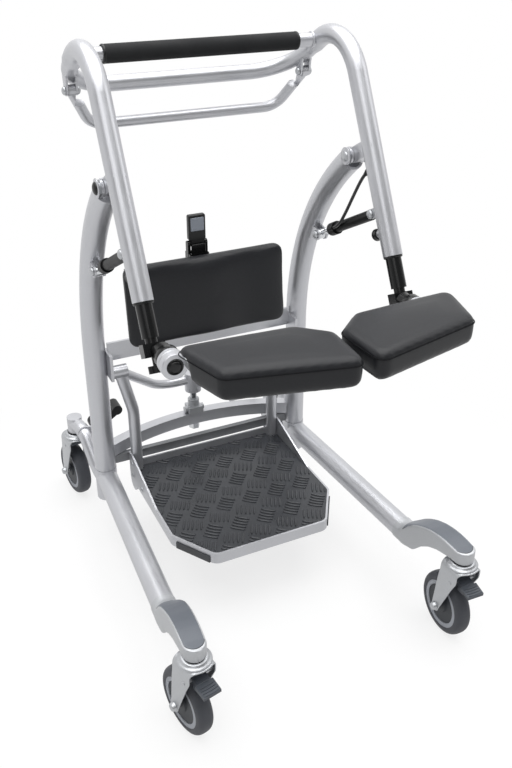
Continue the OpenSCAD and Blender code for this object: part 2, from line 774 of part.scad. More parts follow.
module column_clevis() color("#c9ccce") difference() {
    union() {
        block(at(-clevis_w / 2, bow_back - clevis_w / 2, bowed_z + bowed_h),
            at(clevis_w / 2, bow_back + clevis_w / 2, bowed_z + bowed_h + clevis_h / 2));
        translate(at(0, bow_back, bowed_z + bowed_h)) cylinder(d = column_nut_d, h = clevis_h);
        pin_x(0, clevis_w + column_nut_h, yz(bow_back, bowed_z + bowed_h + clevis_h / 4), column_rod_d);
    }
    translate(at(0, bow_back, bowed_z)) cylinder(d = column_rod_d, h = bowed_h + clevis_h + over);
}
module knee_rail() color("#c3c6c9") {
    difference() {
        block(at(-rail_half, rail_back, rail_low), at(rail_half, rail_back + rail_t, rail_low + rail_w));
        for (k = [-1, 1]) pin_x(k * hub_x, hub_pin_d, yz(hub_back, hub_z), hub_pin_d);
    }
    block(at(-rail_mast_w / 2, rail_back + rail_t, rail_low),
        at(rail_mast_w / 2, rail_back + rail_t + rail_mast_t, rail_mast_top));
}

plate_outline = [at(plate_x, plate_rear_back, 0), at(-plate_x, plate_rear_back, 0),
    at(-plate_x, plate_corner_back, 0), at(-plate_front_x, plate_front_back, 0),
    at(plate_front_x, plate_front_back, 0), at(plate_x, plate_corner_back, 0)];
plate_points = rounded([for (p = plate_outline) [p.x, p.y]], plate_corner_r, 6);
module footplate_tray() color("#c8cacc") difference() {
    union() {
        difference() {
            translate([0, 0, plate_z - rim_h]) linear_extrude(rim_h) polygon(plate_points);
            translate([0, 0, plate_z - mat_t]) linear_extrude(rim_h) polygon(inset(plate_points, tray_wall));
            translate([0, 0, plate_z - rim_h - over]) linear_extrude(rim_h - mat_t - tray_floor + over)
                polygon(inset(plate_points, tray_wall));
        }
        block(at(-plate_x + plate_corner_r, plate_rear_back - tray_wall, plate_z - rim_h),
            at(plate_x - plate_corner_r, plate_rear_back, plate_z + rear_rise));
        for (k = [-1, 1]) across(k * (plate_x - wing_t / 2), wing_t) {
            polygon([yz(wing_from, plate_z - rim_h), yz(wing_from, plate_z),
                yz(plate_rear_back - plate_corner_r, plate_z + wing_rise),
                yz(plate_rear_back, plate_z + wing_rise),
                yz(plate_rear_back, plate_z - rim_h)]);
            translate(yz(plate_rear_back - plate_corner_r, plate_z - rim_h))
                circle(r = plate_z - rim_h - lug_low_z);
        }
    }
    for (k = [-1, 1]) translate(at(k * pillar_x, pillar_back, plate_z - mat_t))
        cylinder(d = pillar_d + 2 * mat_gap, h = wing_rise + mat_t + over);
}
module footplate_rubber() color("#2b2d30") {
    translate([0, 0, plate_z - mat_t]) linear_extrude(mat_t) difference() {
        polygon(inset(plate_points, tray_wall + mat_gap));
        for (k = [-1, 1]) translate(yz_plan(k * pillar_x, pillar_back)) circle(d = pillar_d + 2 * mat_gap);
        for (k = [-1, 1]) translate(yz_plan(k * (plate_x - wing_t / 2), plate_rear_back))
            square([wing_t + 2 * mat_gap, 2 * (plate_rear_back - wing_from)], center = true);
    }
    for (k = [0, 1]) mirror([k, 0, 0]) bumper();
}
function yz_plan(x, back) = [x, back - mid_back];
module bumper() {
    a = yz_plan(plate_x, plate_corner_back);
    b = yz_plan(plate_front_x, plate_front_back);
    u = unit(b - a);
    n = [u.y, -u.x];
    from = a + u * plate_corner_r * bumper_end_share;
    to = b - u * plate_corner_r * bumper_end_share;
    translate([0, 0, plate_z - rim_h]) linear_extrude(bumper_h)
        polygon([from, to, to - n * bumper_t, from - n * bumper_t]);
}

module frame_bolts() color("#d4d6d8") for (s = [-1, 1]) on_side(s) {
    ears_w = lug_w + 2 * free_gap + 2 * pivot_ear_t;
    pin_x(side_x, ears_w + 2 * axle_head_t, pivot, pivot_d);
    for (k = [-1, 1])
        pin_x(side_x + k * (ears_w + axle_head_t) / 2, axle_head_t, pivot, pivot_d + 2 * pivot_cap);
    pin_x(side_x, strut_eye_w + 2 * strut_cheek_t + 2 * axle_head_t, strut_base, strut_pin_d);
}

// Knee rest
module knee_tilt() translate(at(0, knee_back, knee_z)) rotate([-knee_lean, 0, 0]) children();
knee_points = rounded([[knee_w / 2, 0], [knee_w / 2, knee_h], [-knee_w / 2, knee_h], [-knee_w / 2, 0]],
    knee_corner_r, 6);
module knee_pad() color("#26272a") knee_tilt() translate([0, knee_t, 0]) rotate([90, 0, 0])
    cushion(knee_points, [for (r = knee_ring_shares) [knee_tuck * r[0], r[1], knee_t * r[2]]]);
module knee_carriage() color("#3a3c40") {
    mast = rail_back + rail_t;
    difference() {
        union() {
            knee_tilt() block([-knee_w / 2 + board_edge, knee_t, board_edge],
                [knee_w / 2 - board_edge, knee_t + board_t, knee_h - board_edge]);
            block(at(-rail_mast_w / 2 - carriage_wall, mast - carriage_front, carriage_z),
                at(rail_mast_w / 2 + carriage_wall, mast + rail_mast_t + carriage_wall,
                    carriage_z + carriage_h));
            for (k = [-1, 1]) across(k * (lever_w / 2 + free_gap + carriage_wall / 2), carriage_wall)
                link(lever_pivot, lever_pivot - [0, lever_ear_drop], lever_t, lever_t);
            pin_x(0, lever_w + 2 * carriage_wall, lever_pivot, lever_pin_d);
        }
        block(at(-rail_mast_w / 2 - turn_fit, mast - turn_fit, carriage_z - over),
            at(rail_mast_w / 2 + turn_fit, mast + rail_mast_t + turn_fit, carriage_z + carriage_h + over));
    }
}
module knee_lever() color("#1d1e20") difference() {
    across(0, lever_w) {
        translate(lever_pivot) circle(d = lever_t);
        translate(lever_pivot - [lever_t / 2, 0]) square([lever_t, lever_top - lever_pivot.y]);
    }
    pin_x(0, lever_w + 2 * over, lever_pivot, lever_pin_d + 2 * turn_fit);
}

// Handle frame
module arm(s) color("silver") on_side(s) difference() {
    union() {
        tube_path([side3(side_x, arm_low), side3(side_x, arm_corner),
            side3(side_x, swage_end - fall_dir * swage_l)],
            arm_d, top_bend_r);
        rod(side3(side_x, swage_end - fall_dir * (swage_l + over)), side3(side_x, swage_end),
            arm_d - bend_slim, cross_d);
        across(side_x, lug_w) link(pivot, lug_foot, lug_d, lug_root_d);
        for (k = [-1, 1])
            across(side_x + k * (strut_eye_w + strut_cheek_t + 2 * free_gap) / 2, strut_cheek_t)
                link(strut_arm, strut_arm - arm_back_dir * arm_d / 2, strut_cheek_d, strut_cheek_d);
        pin_x(side_x, strut_eye_w + 2 * strut_cheek_t + axle_head_t, strut_arm, strut_pin_d);
        index_boss = arm_low + arm_dir * index_up;
        rod(side3(side_x, index_boss), side3(side_x, index_boss + arm_back_dir * index_boss_l), index_boss_d);
    }
    rod(side3(side_x, arm_low - arm_dir * over), side3(side_x, arm_low + arm_dir * post_bore_l),
        post_d + 2 * turn_fit);
    pin_x(side_x, lug_w + 2 * over, pivot, pivot_d + 2 * turn_fit);
    index_at = arm_low + arm_dir * index_up;
    rod(side3(side_x, index_at), side3(side_x, index_at + arm_back_dir * (index_boss_l + over)),
        index_pin_d + 2 * turn_fit);
}
module cross_tube() color("silver") {
    tube_path([side3(-side_x, swage_end), side3(-side_x, cross_at), side3(side_x, cross_at),
        side3(side_x, swage_end)], cross_d, cross_bend_r);
    for (s = [-1, 1]) on_side(s) {
        for (k = [-1, 1])
            across(release_x + k * (release_eye_w + release_tab_t + 2 * free_gap) / 2, release_tab_t)
                link(release_pivot, release_pivot + [0, release_tab_rise], release_tab_d, release_tab_rise);
        pin_x(release_x, release_eye_w + 2 * release_tab_t + axle_head_t, release_pivot, release_pin_d);
    }
}
module grip_tube() color("silver") difference() {
    pin_x(0, 2 * side_x, grip_at, grip_tube_d);
    for (s = [-1, 1]) on_side(s) arm_shape_at_grip();
}
module arm_shape_at_grip() {
    tube_path([side3(side_x, arm_low), side3(side_x, arm_corner), side3(side_x, swage_end)],
        arm_d, top_bend_r);
}
module grip_sleeve() color("#1f2022") difference() {
    pin_x(0, 2 * (side_x - arm_d / 2 - grip_bare), grip_at, grip_d);
    pin_x(0, 2 * side_x, grip_at, grip_tube_d);
}
module release_bar() color("silver") difference() {
    union() {
        tube_path([side3(-release_x, release_pivot), side3(-release_corner_x, release_bar_at),
            side3(release_corner_x, release_bar_at), side3(release_x, release_pivot)],
            release_d, release_bend_r);
        for (k = [-1, 1]) pin_x(k * release_x, release_eye_w, release_pivot, release_eye_d);
    }
    for (k = [-1, 1]) {
        pin_x(k * release_x, release_eye_w + 2 * over, release_pivot, release_pin_d + 2 * turn_fit);
        for (j = [-1, 1]) pin_x(k * release_x + j * (release_eye_w + release_d) / 2, release_d, release_pivot,
            3 * release_eye_d);
    }
}

// Struts, drawn along +X from the pivot on the arm, then turned into place
module strut_place() translate(side3(side_x, strut_arm))
    rotate([90, 0, 90]) rotate([0, 0, strut_tilt]) children();
module bar_x(from, to, d) translate([from, 0, 0]) rotate([0, 90, 0]) cylinder(d = d, h = to - from);
module strut_barrel(s) color("#1e1f21") on_side(s) strut_place() difference() {
    union() {
        translate([0, 0, -strut_eye_w / 2]) cylinder(d = strut_eye_d, h = strut_eye_w);
        bar_x(0, barrel_from + over, piston_d);
        bar_x(barrel_from, barrel_to, barrel_d);
        bar_x(barrel_to - head_l, barrel_to, head_d);
        translate([0, 0, -(barrel_d + cable_d) / 2])
            bar_x(barrel_to - head_l - socket_l, barrel_to - head_l / 2, socket_d);
    }
    translate([0, 0, -strut_eye_w]) cylinder(d = strut_pin_d + 2 * turn_fit, h = 2 * strut_eye_w);
    bar_x(barrel_to - piston_bore_l, barrel_to + over, piston_d + 2 * turn_fit);
}
module strut_rod(s) color("#d8dadc") on_side(s) strut_place() difference() {
    union() {
        bar_x(barrel_to - piston_bore_l + free_gap, strut_len, piston_d);
        translate([strut_len, 0, -strut_eye_w / 2]) cylinder(d = strut_eye_d + 2 * eye_slack, h = strut_eye_w);
    }
    translate([strut_len, 0, -strut_eye_w]) cylinder(d = strut_pin_d + 2 * eye_slack, h = 2 * strut_eye_w);
}

// Cable: a round tube of eight sides swept along its route
cable_sides = 8;
cable_points = [for (p = cable_route) at(p.x, pivot_back + p.y, pivot_z + p.z)];
function cable_dir(i) = unit(cable_points[min(i + 1, len(cable_points) - 1)] - cable_points[max(i - 1, 0)]);
function cable_ring(i) = let(u = cable_dir(i), a = unit(cross(u, [1, 0, 0])), b = cross(u, a))
    [for (k = [0 : cable_sides - 1]) let(t = 360 * k / cable_sides)
        cable_points[i] + cable_d / 2 * (cos(t) * a + sin(t) * b)];
module release_cable(s) color("#151617") on_side(s) {
    n = cable_sides;
    m = len(cable_points);
    polyhedron([for (i = [0 : m - 1]) each cable_ring(i)], [
        [for (k = [0 : n - 1]) k], [for (k = [0 : n - 1]) m * n - 1 - k],
        for (i = [0 : m - 2]) for (k = [0 : n - 1]) let(q = (k + 1) % n)
            each [[i * n + k, (i + 1) * n + k, (i + 1) * n + q], [i * n + k, (i + 1) * n + q, i * n + q]]]);
}

// Seat
post_end = arm_low - arm_dir * (post_out + neck_l);
yoke_end = post_end - arm_dir * yoke_l;
yoke_mid = (post_end + yoke_end) / 2;
shaft_rear = yz(hinge_back + hinge_l, hinge_z);
module along_post() translate(side3(side_x, arm_low)) rotate([90 + arm_lean, 0, 0]) children();
module seat_post(s) color("#17181a") on_side(s) {
    along_post() {
        translate([0, 0, -post_in]) cylinder(d = post_d, h = post_in + post_out);
        translate([0, 0, post_out]) cylinder(d = neck_d, h = neck_l);
        translate([-yoke_w / 2, -yoke_t / 2, post_out + neck_l]) cube([yoke_w, yoke_t, yoke_l]);
        translate([0, 0, post_out + neck_l]) cylinder(d = neck_d / 2, h = stud_to - post_out - neck_l);
    }
    rod(side3(side_x, yoke_mid), side3(hinge_x, shaft_rear + [tongue_d / 2, 0]), tongue_d);
    translate(side3(hinge_x, shaft_rear + [tongue_d, 0])) rotate([90, 0, 0])
        cylinder(d = shaft_d, h = tongue_d + hinge_l - free_gap);
    translate(side3(hinge_x, shaft_rear + [tongue_d, 0])) rotate([90, 0, 0])
        cylinder(d = tongue_collar_d, h = tongue_d - free_gap);
}
module seat_knob(s) color("#141516") on_side(s) along_post() difference() {
    translate([0, 0, knob_from]) linear_extrude(seat_knob_h) {
        circle(d = seat_knob_d * knob_hub_share);
        for (a = [0 : 120 : 240]) rotate(a) translate([seat_knob_d / 2 * (1 - knob_lobe_share), 0])
            circle(d = seat_knob_d * knob_lobe_share);
    }
    translate([0, 0, post_out]) cylinder(d = neck_d / 2 + 2 * turn_fit, h = stud_to - post_out + turn_fit);
}
module seat_hinge(s) color("#c9ccce") on_side(s) {
    difference() {
        union() {
            translate(at(hinge_x, hinge_back + hinge_l, hinge_z)) rotate([90, 0, 0])
                cylinder(d = hinge_d, h = hinge_l);
            block(at(hinge_x - ear_from, hinge_back - ear_fore, seat_z - ear_t),
                at(hinge_x - ear_to, hinge_back + hinge_l / 2, seat_z));
        }
        translate(at(hinge_x, hinge_back + hinge_l + over, hinge_z)) rotate([90, 0, 0])
            cylinder(d = shaft_d + 2 * turn_fit, h = hinge_l + 2 * over);
    }
    block(at(hinge_x - seat_board_in, hinge_back - seat_board_fore, seat_z - seat_board_t),
        at(hinge_x - seat_board_out, hinge_back - seat_board_fore + seat_board_l, seat_z));
}
seat_points = rounded([for (p = seat_plan) yz_plan(p.x, hinge_back + p.y)], seat_corner_r, 6);
module seat_pad(s) color("#2a2b2e") on_side(s) difference() {
    cushion(seat_points, [for (r = seat_ring_shares) [seat_tuck * r[0], r[1], seat_z + seat_h * r[2]]]);
    translate(at(hinge_x, hinge_back - relief_fore, hinge_z)) rotate([-90, 0, 0])
        cylinder(r = relief_r, h = relief_fore);
}

module index_knob(s) color("#2a2b2d") on_side(s) {
    foot = arm_low + arm_dir * index_up;
    rod(side3(side_x, foot + arm_back_dir * (post_d / 2 + over)),
        side3(side_x, foot + arm_back_dir * (index_boss_l + free_gap + over)), index_pin_d);
    rod(side3(side_x, foot + arm_back_dir * (index_boss_l + free_gap)),
        side3(side_x, foot + arm_back_dir * (index_boss_l + free_gap + index_knob_l)), index_knob_d);
}

leg(-1);  // leg_left
leg(1);  // leg_right
front_housing(-1);  // front_housing_left
front_housing(1);  // front_housing_right
housing_inlay(-1);  // housing_inlay_left
housing_inlay(1);  // housing_inlay_right
leg_pedal(-1);  // leg_pedal_left
leg_pedal(1);  // leg_pedal_right
castor(-stem_x, 0, swivel_fl) fork(1);  // castor_fork_fl
castor(stem_x, 0, swivel_fr) fork(1);  // castor_fork_fr
castor(-rear_stem_x, rear_stem_back, swivel_rl) fork(-1);  // castor_fork_rl
castor(rear_stem_x, rear_stem_back, swivel_rr) fork(-1);  // castor_fork_rr
castor(-stem_x, 0, swivel_fl) tyre();  // tyre_fl
castor(stem_x, 0, swivel_fr) tyre();  // tyre_fr
castor(-rear_stem_x, rear_stem_back, swivel_rl) tyre();  // tyre_rl
castor(rear_stem_x, rear_stem_back, swivel_rr) tyre();  // tyre_rr
castor(-stem_x, 0, swivel_fl) rim();  // rim_fl
castor(stem_x, 0, swivel_fr) rim();  // rim_fr
castor(-rear_stem_x, rear_stem_back, swivel_rl) rim();  // rim_rl
castor(rear_stem_x, rear_stem_back, swivel_rr) rim();  // rim_rr
castor(-stem_x, 0, swivel_fl) brake_pedal(1);  // brake_pedal_fl
castor(stem_x, 0, swivel_fr) brake_pedal(1);  // brake_pedal_fr
castor(-rear_stem_x, rear_stem_back, swivel_rl) brake_pedal(-1);  // brake_pedal_rl
castor(rear_stem_x, rear_stem_back, swivel_rr) brake_pedal(-1);  // brake_pedal_rr
upright(-1);  // upright_left
upright(1);  // upright_right
bowed_bar();
flat_bar();
knee_frame();
column_rod();
column_clevis();
knee_rail();
footplate_tray();
footplate_rubber();
frame_bolts();
knee_carriage();
knee_pad();
knee_lever();
arm(-1);  // arm_left
arm(1);  // arm_right
cross_tube();
grip_tube();
grip_sleeve();
release_bar();
strut_barrel(-1);  // strut_barrel_left
strut_barrel(1);  // strut_barrel_right
strut_rod(-1);  // strut_rod_left
strut_rod(1);  // strut_rod_right
release_cable(-1);  // release_cable_left
release_cable(1);  // release_cable_right
seat_post(-1);  // seat_post_left
seat_post(1);  // seat_post_right
seat_hinge(-1);  // seat_hinge_left
seat_hinge(1);  // seat_hinge_right
seat_pad(-1);  // seat_pad_left
seat_pad(1);  // seat_pad_right
seat_knob(-1);  // seat_knob_left
seat_knob(1);  // seat_knob_right
index_knob(-1);  // index_knob_left
index_knob(1);  // index_knob_right
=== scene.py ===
import math

import bmesh
import bpy
import numpy as np
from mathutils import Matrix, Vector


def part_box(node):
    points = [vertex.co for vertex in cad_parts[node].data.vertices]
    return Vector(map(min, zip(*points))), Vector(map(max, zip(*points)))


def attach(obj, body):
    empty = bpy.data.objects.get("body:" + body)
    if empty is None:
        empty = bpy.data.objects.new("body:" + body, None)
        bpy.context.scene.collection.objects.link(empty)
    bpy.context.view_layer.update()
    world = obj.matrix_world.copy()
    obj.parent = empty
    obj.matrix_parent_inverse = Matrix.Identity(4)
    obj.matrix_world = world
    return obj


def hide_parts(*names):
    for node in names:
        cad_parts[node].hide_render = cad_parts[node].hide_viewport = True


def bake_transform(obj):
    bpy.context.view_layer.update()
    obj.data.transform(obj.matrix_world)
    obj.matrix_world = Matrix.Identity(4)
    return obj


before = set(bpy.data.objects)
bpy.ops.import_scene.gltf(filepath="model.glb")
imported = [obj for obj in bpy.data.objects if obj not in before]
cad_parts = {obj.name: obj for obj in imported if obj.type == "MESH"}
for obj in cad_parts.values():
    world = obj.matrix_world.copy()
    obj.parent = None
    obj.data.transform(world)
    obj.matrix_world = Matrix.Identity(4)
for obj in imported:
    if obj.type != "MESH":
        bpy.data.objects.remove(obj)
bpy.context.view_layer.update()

bl_info = {
    "name": "Stand-up transfer aid",
    "version": (1, 0, 0),
    "blender": (4, 5, 0),
    "location": "View3D > Sidebar > Transfer aid",
    "description": "Covers, trim and finishes of a wheeled stand-up transfer aid",
    "category": "Object",
}

# The distance that the row frame's origin lies behind the front castor stems, in metres
MID_BACK = 0.393893
SIDES = {"left": -1.0, "right": 1.0}
SIDE_X = 0.233
ARM_LEAN = math.radians(62.5)
ARM_DIR = np.array([0.0, math.cos(ARM_LEAN), math.sin(ARM_LEAN)])
ARM_BACK = np.array([0.0, math.sin(ARM_LEAN), -math.cos(ARM_LEAN)])
X_AXIS = np.array([1.0, 0.0, 0.0])
Y_AXIS = np.array([0.0, 1.0, 0.0])
Z_AXIS = np.array([0.0, 0.0, 1.0])
# Castors: stem x and back in metres, swivel in degrees, and the side that the brake pedal is on
CASTORS = {
    "fl": (-0.265875, 0.0, 12.0, 1.0),
    "fr": (0.265875, 0.0, -2.0, 1.0),
    "rl": (-0.260, 0.750, 8.0, -1.0),
    "rr": (0.260, 0.750, -8.0, -1.0),
}


def both(*names):
    """The left and the right node of each name."""
    return [name + "_" + side for name in names for side in SIDES]


# The solids that keep their own shape, by finish
SOLIDS = {
    "silver": both("leg", "upright", "arm") + ["knee_frame", "cross_tube", "grip_tube", "release_bar", "knee_rail",
                                               "footplate_tray", "bowed_bar"],
    "cast": both("seat_hinge") + ["column_clevis"],
    "zinc": ["frame_bolts"],
    "bar": ["flat_bar"],
    "chrome": both("strut_rod") + ["column_rod"],
    "satin_black": both("seat_post") + ["knee_carriage"],
    "barrel": both("strut_barrel"),
    "black_abs": both("leg_pedal", "seat_knob", "index_knob"),
    "pedal": ["brake_pedal_" + name for name in CASTORS],
    "rim": ["rim_" + name for name in CASTORS],
    "foam": ["grip_sleeve"],
    "mat": ["footplate_rubber"],
}
# The finishes by short name, filled on first use
FINISHES = {}


def mm(rows):
    """Lengths in millimetres as an array in metres."""
    return np.array(rows) / 1000.0


def linear(code):
    """Linear RGB of an sRGB hex colour such as "#26272a"."""
    v = np.array([int(code[i:i + 2], 16) for i in (1, 3, 5)]) / 255.0
    return tuple(np.where(v <= 0.04045, v / 12.92, ((v + 0.055) / 1.055) ** 2.4))


def colour(label, about, code):
    """A colour setting with an sRGB hex default."""
    return bpy.props.FloatVectorProperty(name=label, description=about, default=linear(code), size=3, min=0.0,
                                         max=1.0, subtype="COLOR")


def size(label, about, metres):
    """A length setting in metres."""
    return bpy.props.FloatProperty(name=label, description=about, default=metres, min=0.0, unit="LENGTH",
                                   subtype="DISTANCE", precision=4)


class AidSizes(bpy.types.PropertyGroup):
    """Sizes of the covers and trim that a user would change"""

    seam: size("Seam", "Diameter of the seam cord round each seat", 0.0016)
    swell: size("Swell", "How far the foam may push the covers out", 0.005)
    voxel: size("Cover mesh", "Spacing of the points of a padded cover", 0.005)
    hollow: size("Knee hollow", "Depth of the two hollows in the knee rest", 0.008)
    cable: size("Cable", "Diameter of the release cables", 0.006)
    bar_length: size("Tread bar length", "Length of one raised bar of the mat", 0.031)
    bar_width: size("Tread bar width", "Width of one raised bar of the mat", 0.0050)
    bar_pitch: size("Tread bar pitch", "Distance between bars of one group", 0.0088)
    bar_height: size("Tread bar height", "Height of the bars over the mat", 0.0022)
    group_across: size("Tread group step across", "Step from one group of bars to the next, across", 0.0295)
    group_along: size("Tread group step along", "Step from one group of bars to the next, along", 0.0355)


class AidColours(bpy.types.PropertyGroup):
    """Colours of the finishes"""

    silver: colour("Silver coat", "Powder coat of the tubes", "#c5c6ca")
    cast: colour("Castings", "Enamel of the housings and hinge blocks", "#bfc1c4")
    zinc: colour("Zinc", "Plated forks and fasteners", "#b9bbbe")
    chrome: colour("Chrome", "Piston rods and column", "#d0d2d4")
    satin_black: colour("Satin black", "Posts, barrels and carriage", "#0c0d0e")
    black_abs: colour("Black plastic", "Knobs, lever and leg pedals", "#121314")
    pedal: colour("Pedal grey", "Brake pedals", "#434850")
    inlay: colour("Inlay grey", "Panels set into the housings and lever", "#696e76")
    rim: colour("Rim grey", "Wheel rims", "#b2b6be")
    tyre: colour("Tyre grey", "Wheel tyres", "#484a50")
    cover: colour("Cover", "Seats and knee rest", "#242528")
    foam: colour("Grip foam", "Sleeve of the grip", "#17181a")
    mat: colour("Mat", "Rubber of the footplate", "#36383c")
    sheath: colour("Cable sheath", "Release cables", "#0f1011")


# Shapes

def unit(v):
    """Vectors of length one along the last axis."""
    v = np.asarray(v, float)
    return v / np.linalg.norm(v, axis=-1, keepdims=True)


def join(*parts):
    """Coordinates put side by side on a last axis, stretched to one shape."""
    return np.stack(np.broadcast_arrays(*parts), -1)


def place(x, back, z):
    """A point in the row frame from its x, its distance behind the front stems and its height."""
    return np.array([x, back - MID_BACK, z])


def rounded(corners, radius, steps=10):
    """Outline of a polygon whose corners are arcs: each arc's middle lies on the corner's bisector, radius over
    the sine of half the corner away from it, and the arc turns by 180 degrees less the corner."""
    b = np.asarray(corners, float)
    u, w = unit(np.roll(b, 1, 0) - b), unit(np.roll(b, -1, 0) - b)
    half = np.arccos(np.sum(u * w, 1)) / 2
    mid = b + unit(u + w) * (radius / np.sin(half))[:, None]
    start = b + u * (radius / np.tan(half))[:, None] - mid
    end = b + w * (radius / np.tan(half))[:, None] - mid
    way = np.sign(start[:, 0] * end[:, 1] - start[:, 1] * end[:, 0])
    t = np.linspace(0, 1, steps + 1)[None] * ((np.pi - 2 * half) * way)[:, None]
    x = mid[:, :1] + start[:, :1] * np.cos(t) - start[:, 1:] * np.sin(t)
    y = mid[:, 1:] + start[:, :1] * np.sin(t) + start[:, 1:] * np.cos(t)
    return join(x, y).reshape(-1, 2)


def spaced(line, shares):
    """Points of a line at shares of its length."""
    run = np.concatenate([[0.0], np.cumsum(np.linalg.norm(np.diff(line, axis=0), axis=1))])
    return join(*(np.interp(shares * run[-1], run, v) for v in line.T))


def evenly(loop, n):
    """n points at equal steps along a closed outline."""
    return spaced(np.vstack([loop, loop[:1]]), np.arange(n) / n)


def inward(loop):
    """Unit normals that point into an outline that runs anticlockwise."""
    u = unit(np.roll(loop, -1, 0) - np.roll(loop, 1, 0))
    return join(-u[:, 1], u[:, 0])


def shrunk(line, inset, share):
    """Rings of an outline: each is drawn in by its inset, then shrunk to its share about the outline's middle."""
    middle = (line.max(0) + line.min(0)) / 2
    rings = line[None] + inward(line)[None] * inset[:, None, None]
    return middle + share[:, None, None] * (rings - middle)


def turned(profile, at, axis, n=40):
    """Turned piece: each profile row is (radius, distance along the axis), carried round the axis in n steps.
    Returns rings of points."""
    axis = unit(axis)
    a = unit(np.cross(axis, X_AXIS if abs(axis[0]) < 0.9 else Z_AXIS))
    b = np.cross(axis, a)
    t = np.arange(n) / n * 2 * np.pi
    ring = np.cos(t)[:, None] * a + np.sin(t)[:, None] * b
    p = np.asarray(profile, float)
    return np.asarray(at, float) + p[:, 0, None, None] * ring[None] + (p[:, 1, None] * axis)[:, None]


def swept(path, radius, across=X_AXIS, n=12, loop=False):
    """Round cord: a circle carried along a path, square to the path's direction at each point."""
    path = np.asarray(path, float)
    if loop:
        u = unit(np.roll(path, -1, 0) - np.roll(path, 1, 0))
    else:
        u = unit(np.gradient(path, axis=0))
    a = unit(np.cross(u, across))
    b = np.cross(u, a)
    t = np.arange(n) / n * 2 * np.pi
    return path[:, None] + radius * (np.cos(t)[None, :, None] * a[:, None] + np.sin(t)[None, :, None] * b[:, None])


def bars(centres, angles, lengths, width, height, sink=0.0004):
    """Low bars, one for each centre: an oval ring at four heights that slims towards a rounded top. Returns an
    array of rings for each bar."""
    t = np.arange(12) / 12 * 2 * np.pi
    slim = np.array([1.0, 1.0, 0.80, 0.42])
    z = np.array([-sink, height * 0.35, height * 0.80, height])
    half = np.broadcast_to(np.asarray(lengths, float) / 2, len(centres))
    along = (half[:, None] - width / 2 * (1 - slim))[..., None] * np.cos(t)
    side = width / 2 * slim[:, None] * np.sin(t)
    c, s = np.cos(angles)[:, None, None], np.sin(angles)[:, None, None]
    return join(along * c - side * s, along * s + side * c, z[:, None]) + np.asarray(centres)[:, None, None]


def round_box(across, up, corner, steps=6):
    """Outlines of boxes about zero, one for each size given: a quarter circle round each corner's middle."""
    t = (np.arange(4)[:, None] * np.pi / 2 + np.linspace(0, np.pi / 2, steps)[None]).ravel()
    right, top = np.repeat([1.0, -1.0, -1.0, 1.0], steps), np.repeat([1.0, 1.0, -1.0, -1.0], steps)
    across, up, corner = (np.asarray(v, float)[:, None] for v in (across, up, corner))
    return join(right * (across / 2 - corner) + corner * np.cos(t), top * (up / 2 - corner) + corner * np.sin(t))


def skin(name, rings, loop=False):
    """Mesh object of rings of points, shaped (bodies, rings, points, 3): faces join each ring to the next, and
    one flat face closes each end unless the rings form a loop."""
    rings = np.asarray(rings, float)
    rings = rings.reshape((-1,) + rings.shape[-3:])
    count, m, n = rings.shape[:3]
    step = np.arange(m if loop else m - 1)[:, None]
    k = np.arange(n)[None]
    near, far = step * n, (step + 1) % m * n
    quads = np.stack([near + k, near + (k + 1) % n, far + (k + 1) % n, far + k], -1).reshape(-1, 4)
    shift = (np.arange(count) * m * n)[:, None, None]
    faces = (quads[None] + shift).reshape(-1, 4).tolist()
    if not loop:
        ends = np.stack([np.arange(n)[::-1], (m - 1) * n + np.arange(n)])
        faces += (ends[None] + shift).reshape(-1, n).tolist()
    mesh = bpy.data.meshes.new(name)
    mesh.from_pydata(rings.reshape(-1, 3), [], faces)
    return outward(mesh, name)


def outward(mesh, name):
    """Turn a mesh's faces outwards, shade it, and link an object that holds it."""
    work = bmesh.new()
    work.from_mesh(mesh)
    bmesh.ops.recalc_face_normals(work, faces=work.faces)
    work.to_mesh(mesh)
    work.free()
    mesh.shade_smooth()
    mesh.set_sharp_from_angle(angle=math.radians(40))
    mesh.update()
    piece = bpy.data.objects.new(name, mesh)
    bpy.context.scene.collection.objects.link(piece)
    return piece


def points_of(mesh):
    """A mesh's points as one array."""
    flat = np.empty(len(mesh.vertices) * 3, np.float32)
    mesh.vertices.foreach_get("co", flat)
    return flat.reshape(-1, 3).astype(float)


def even_out(mesh, move, fixed, rounds=60):
    """Moves of a mesh's points, each replaced by the mean of its neighbours' moves a number of times, so that a
    tight cover keeps its swell and loses its creases. Fixed points don't move."""
    pair = np.empty(len(mesh.edges) * 2, np.int32)
    mesh.edges.foreach_get("vertices", pair)
    near, far = pair.reshape(-1, 2).T
    count = np.bincount(pair, minlength=len(move))
    for _ in range(rounds):
        total = [np.bincount(near, move[far, k], len(move)) + np.bincount(far, move[near, k], len(move))
                 for k in range(3)]
        move = np.where(fixed[:, None], 0.0, np.stack(total / count, -1))
    return move


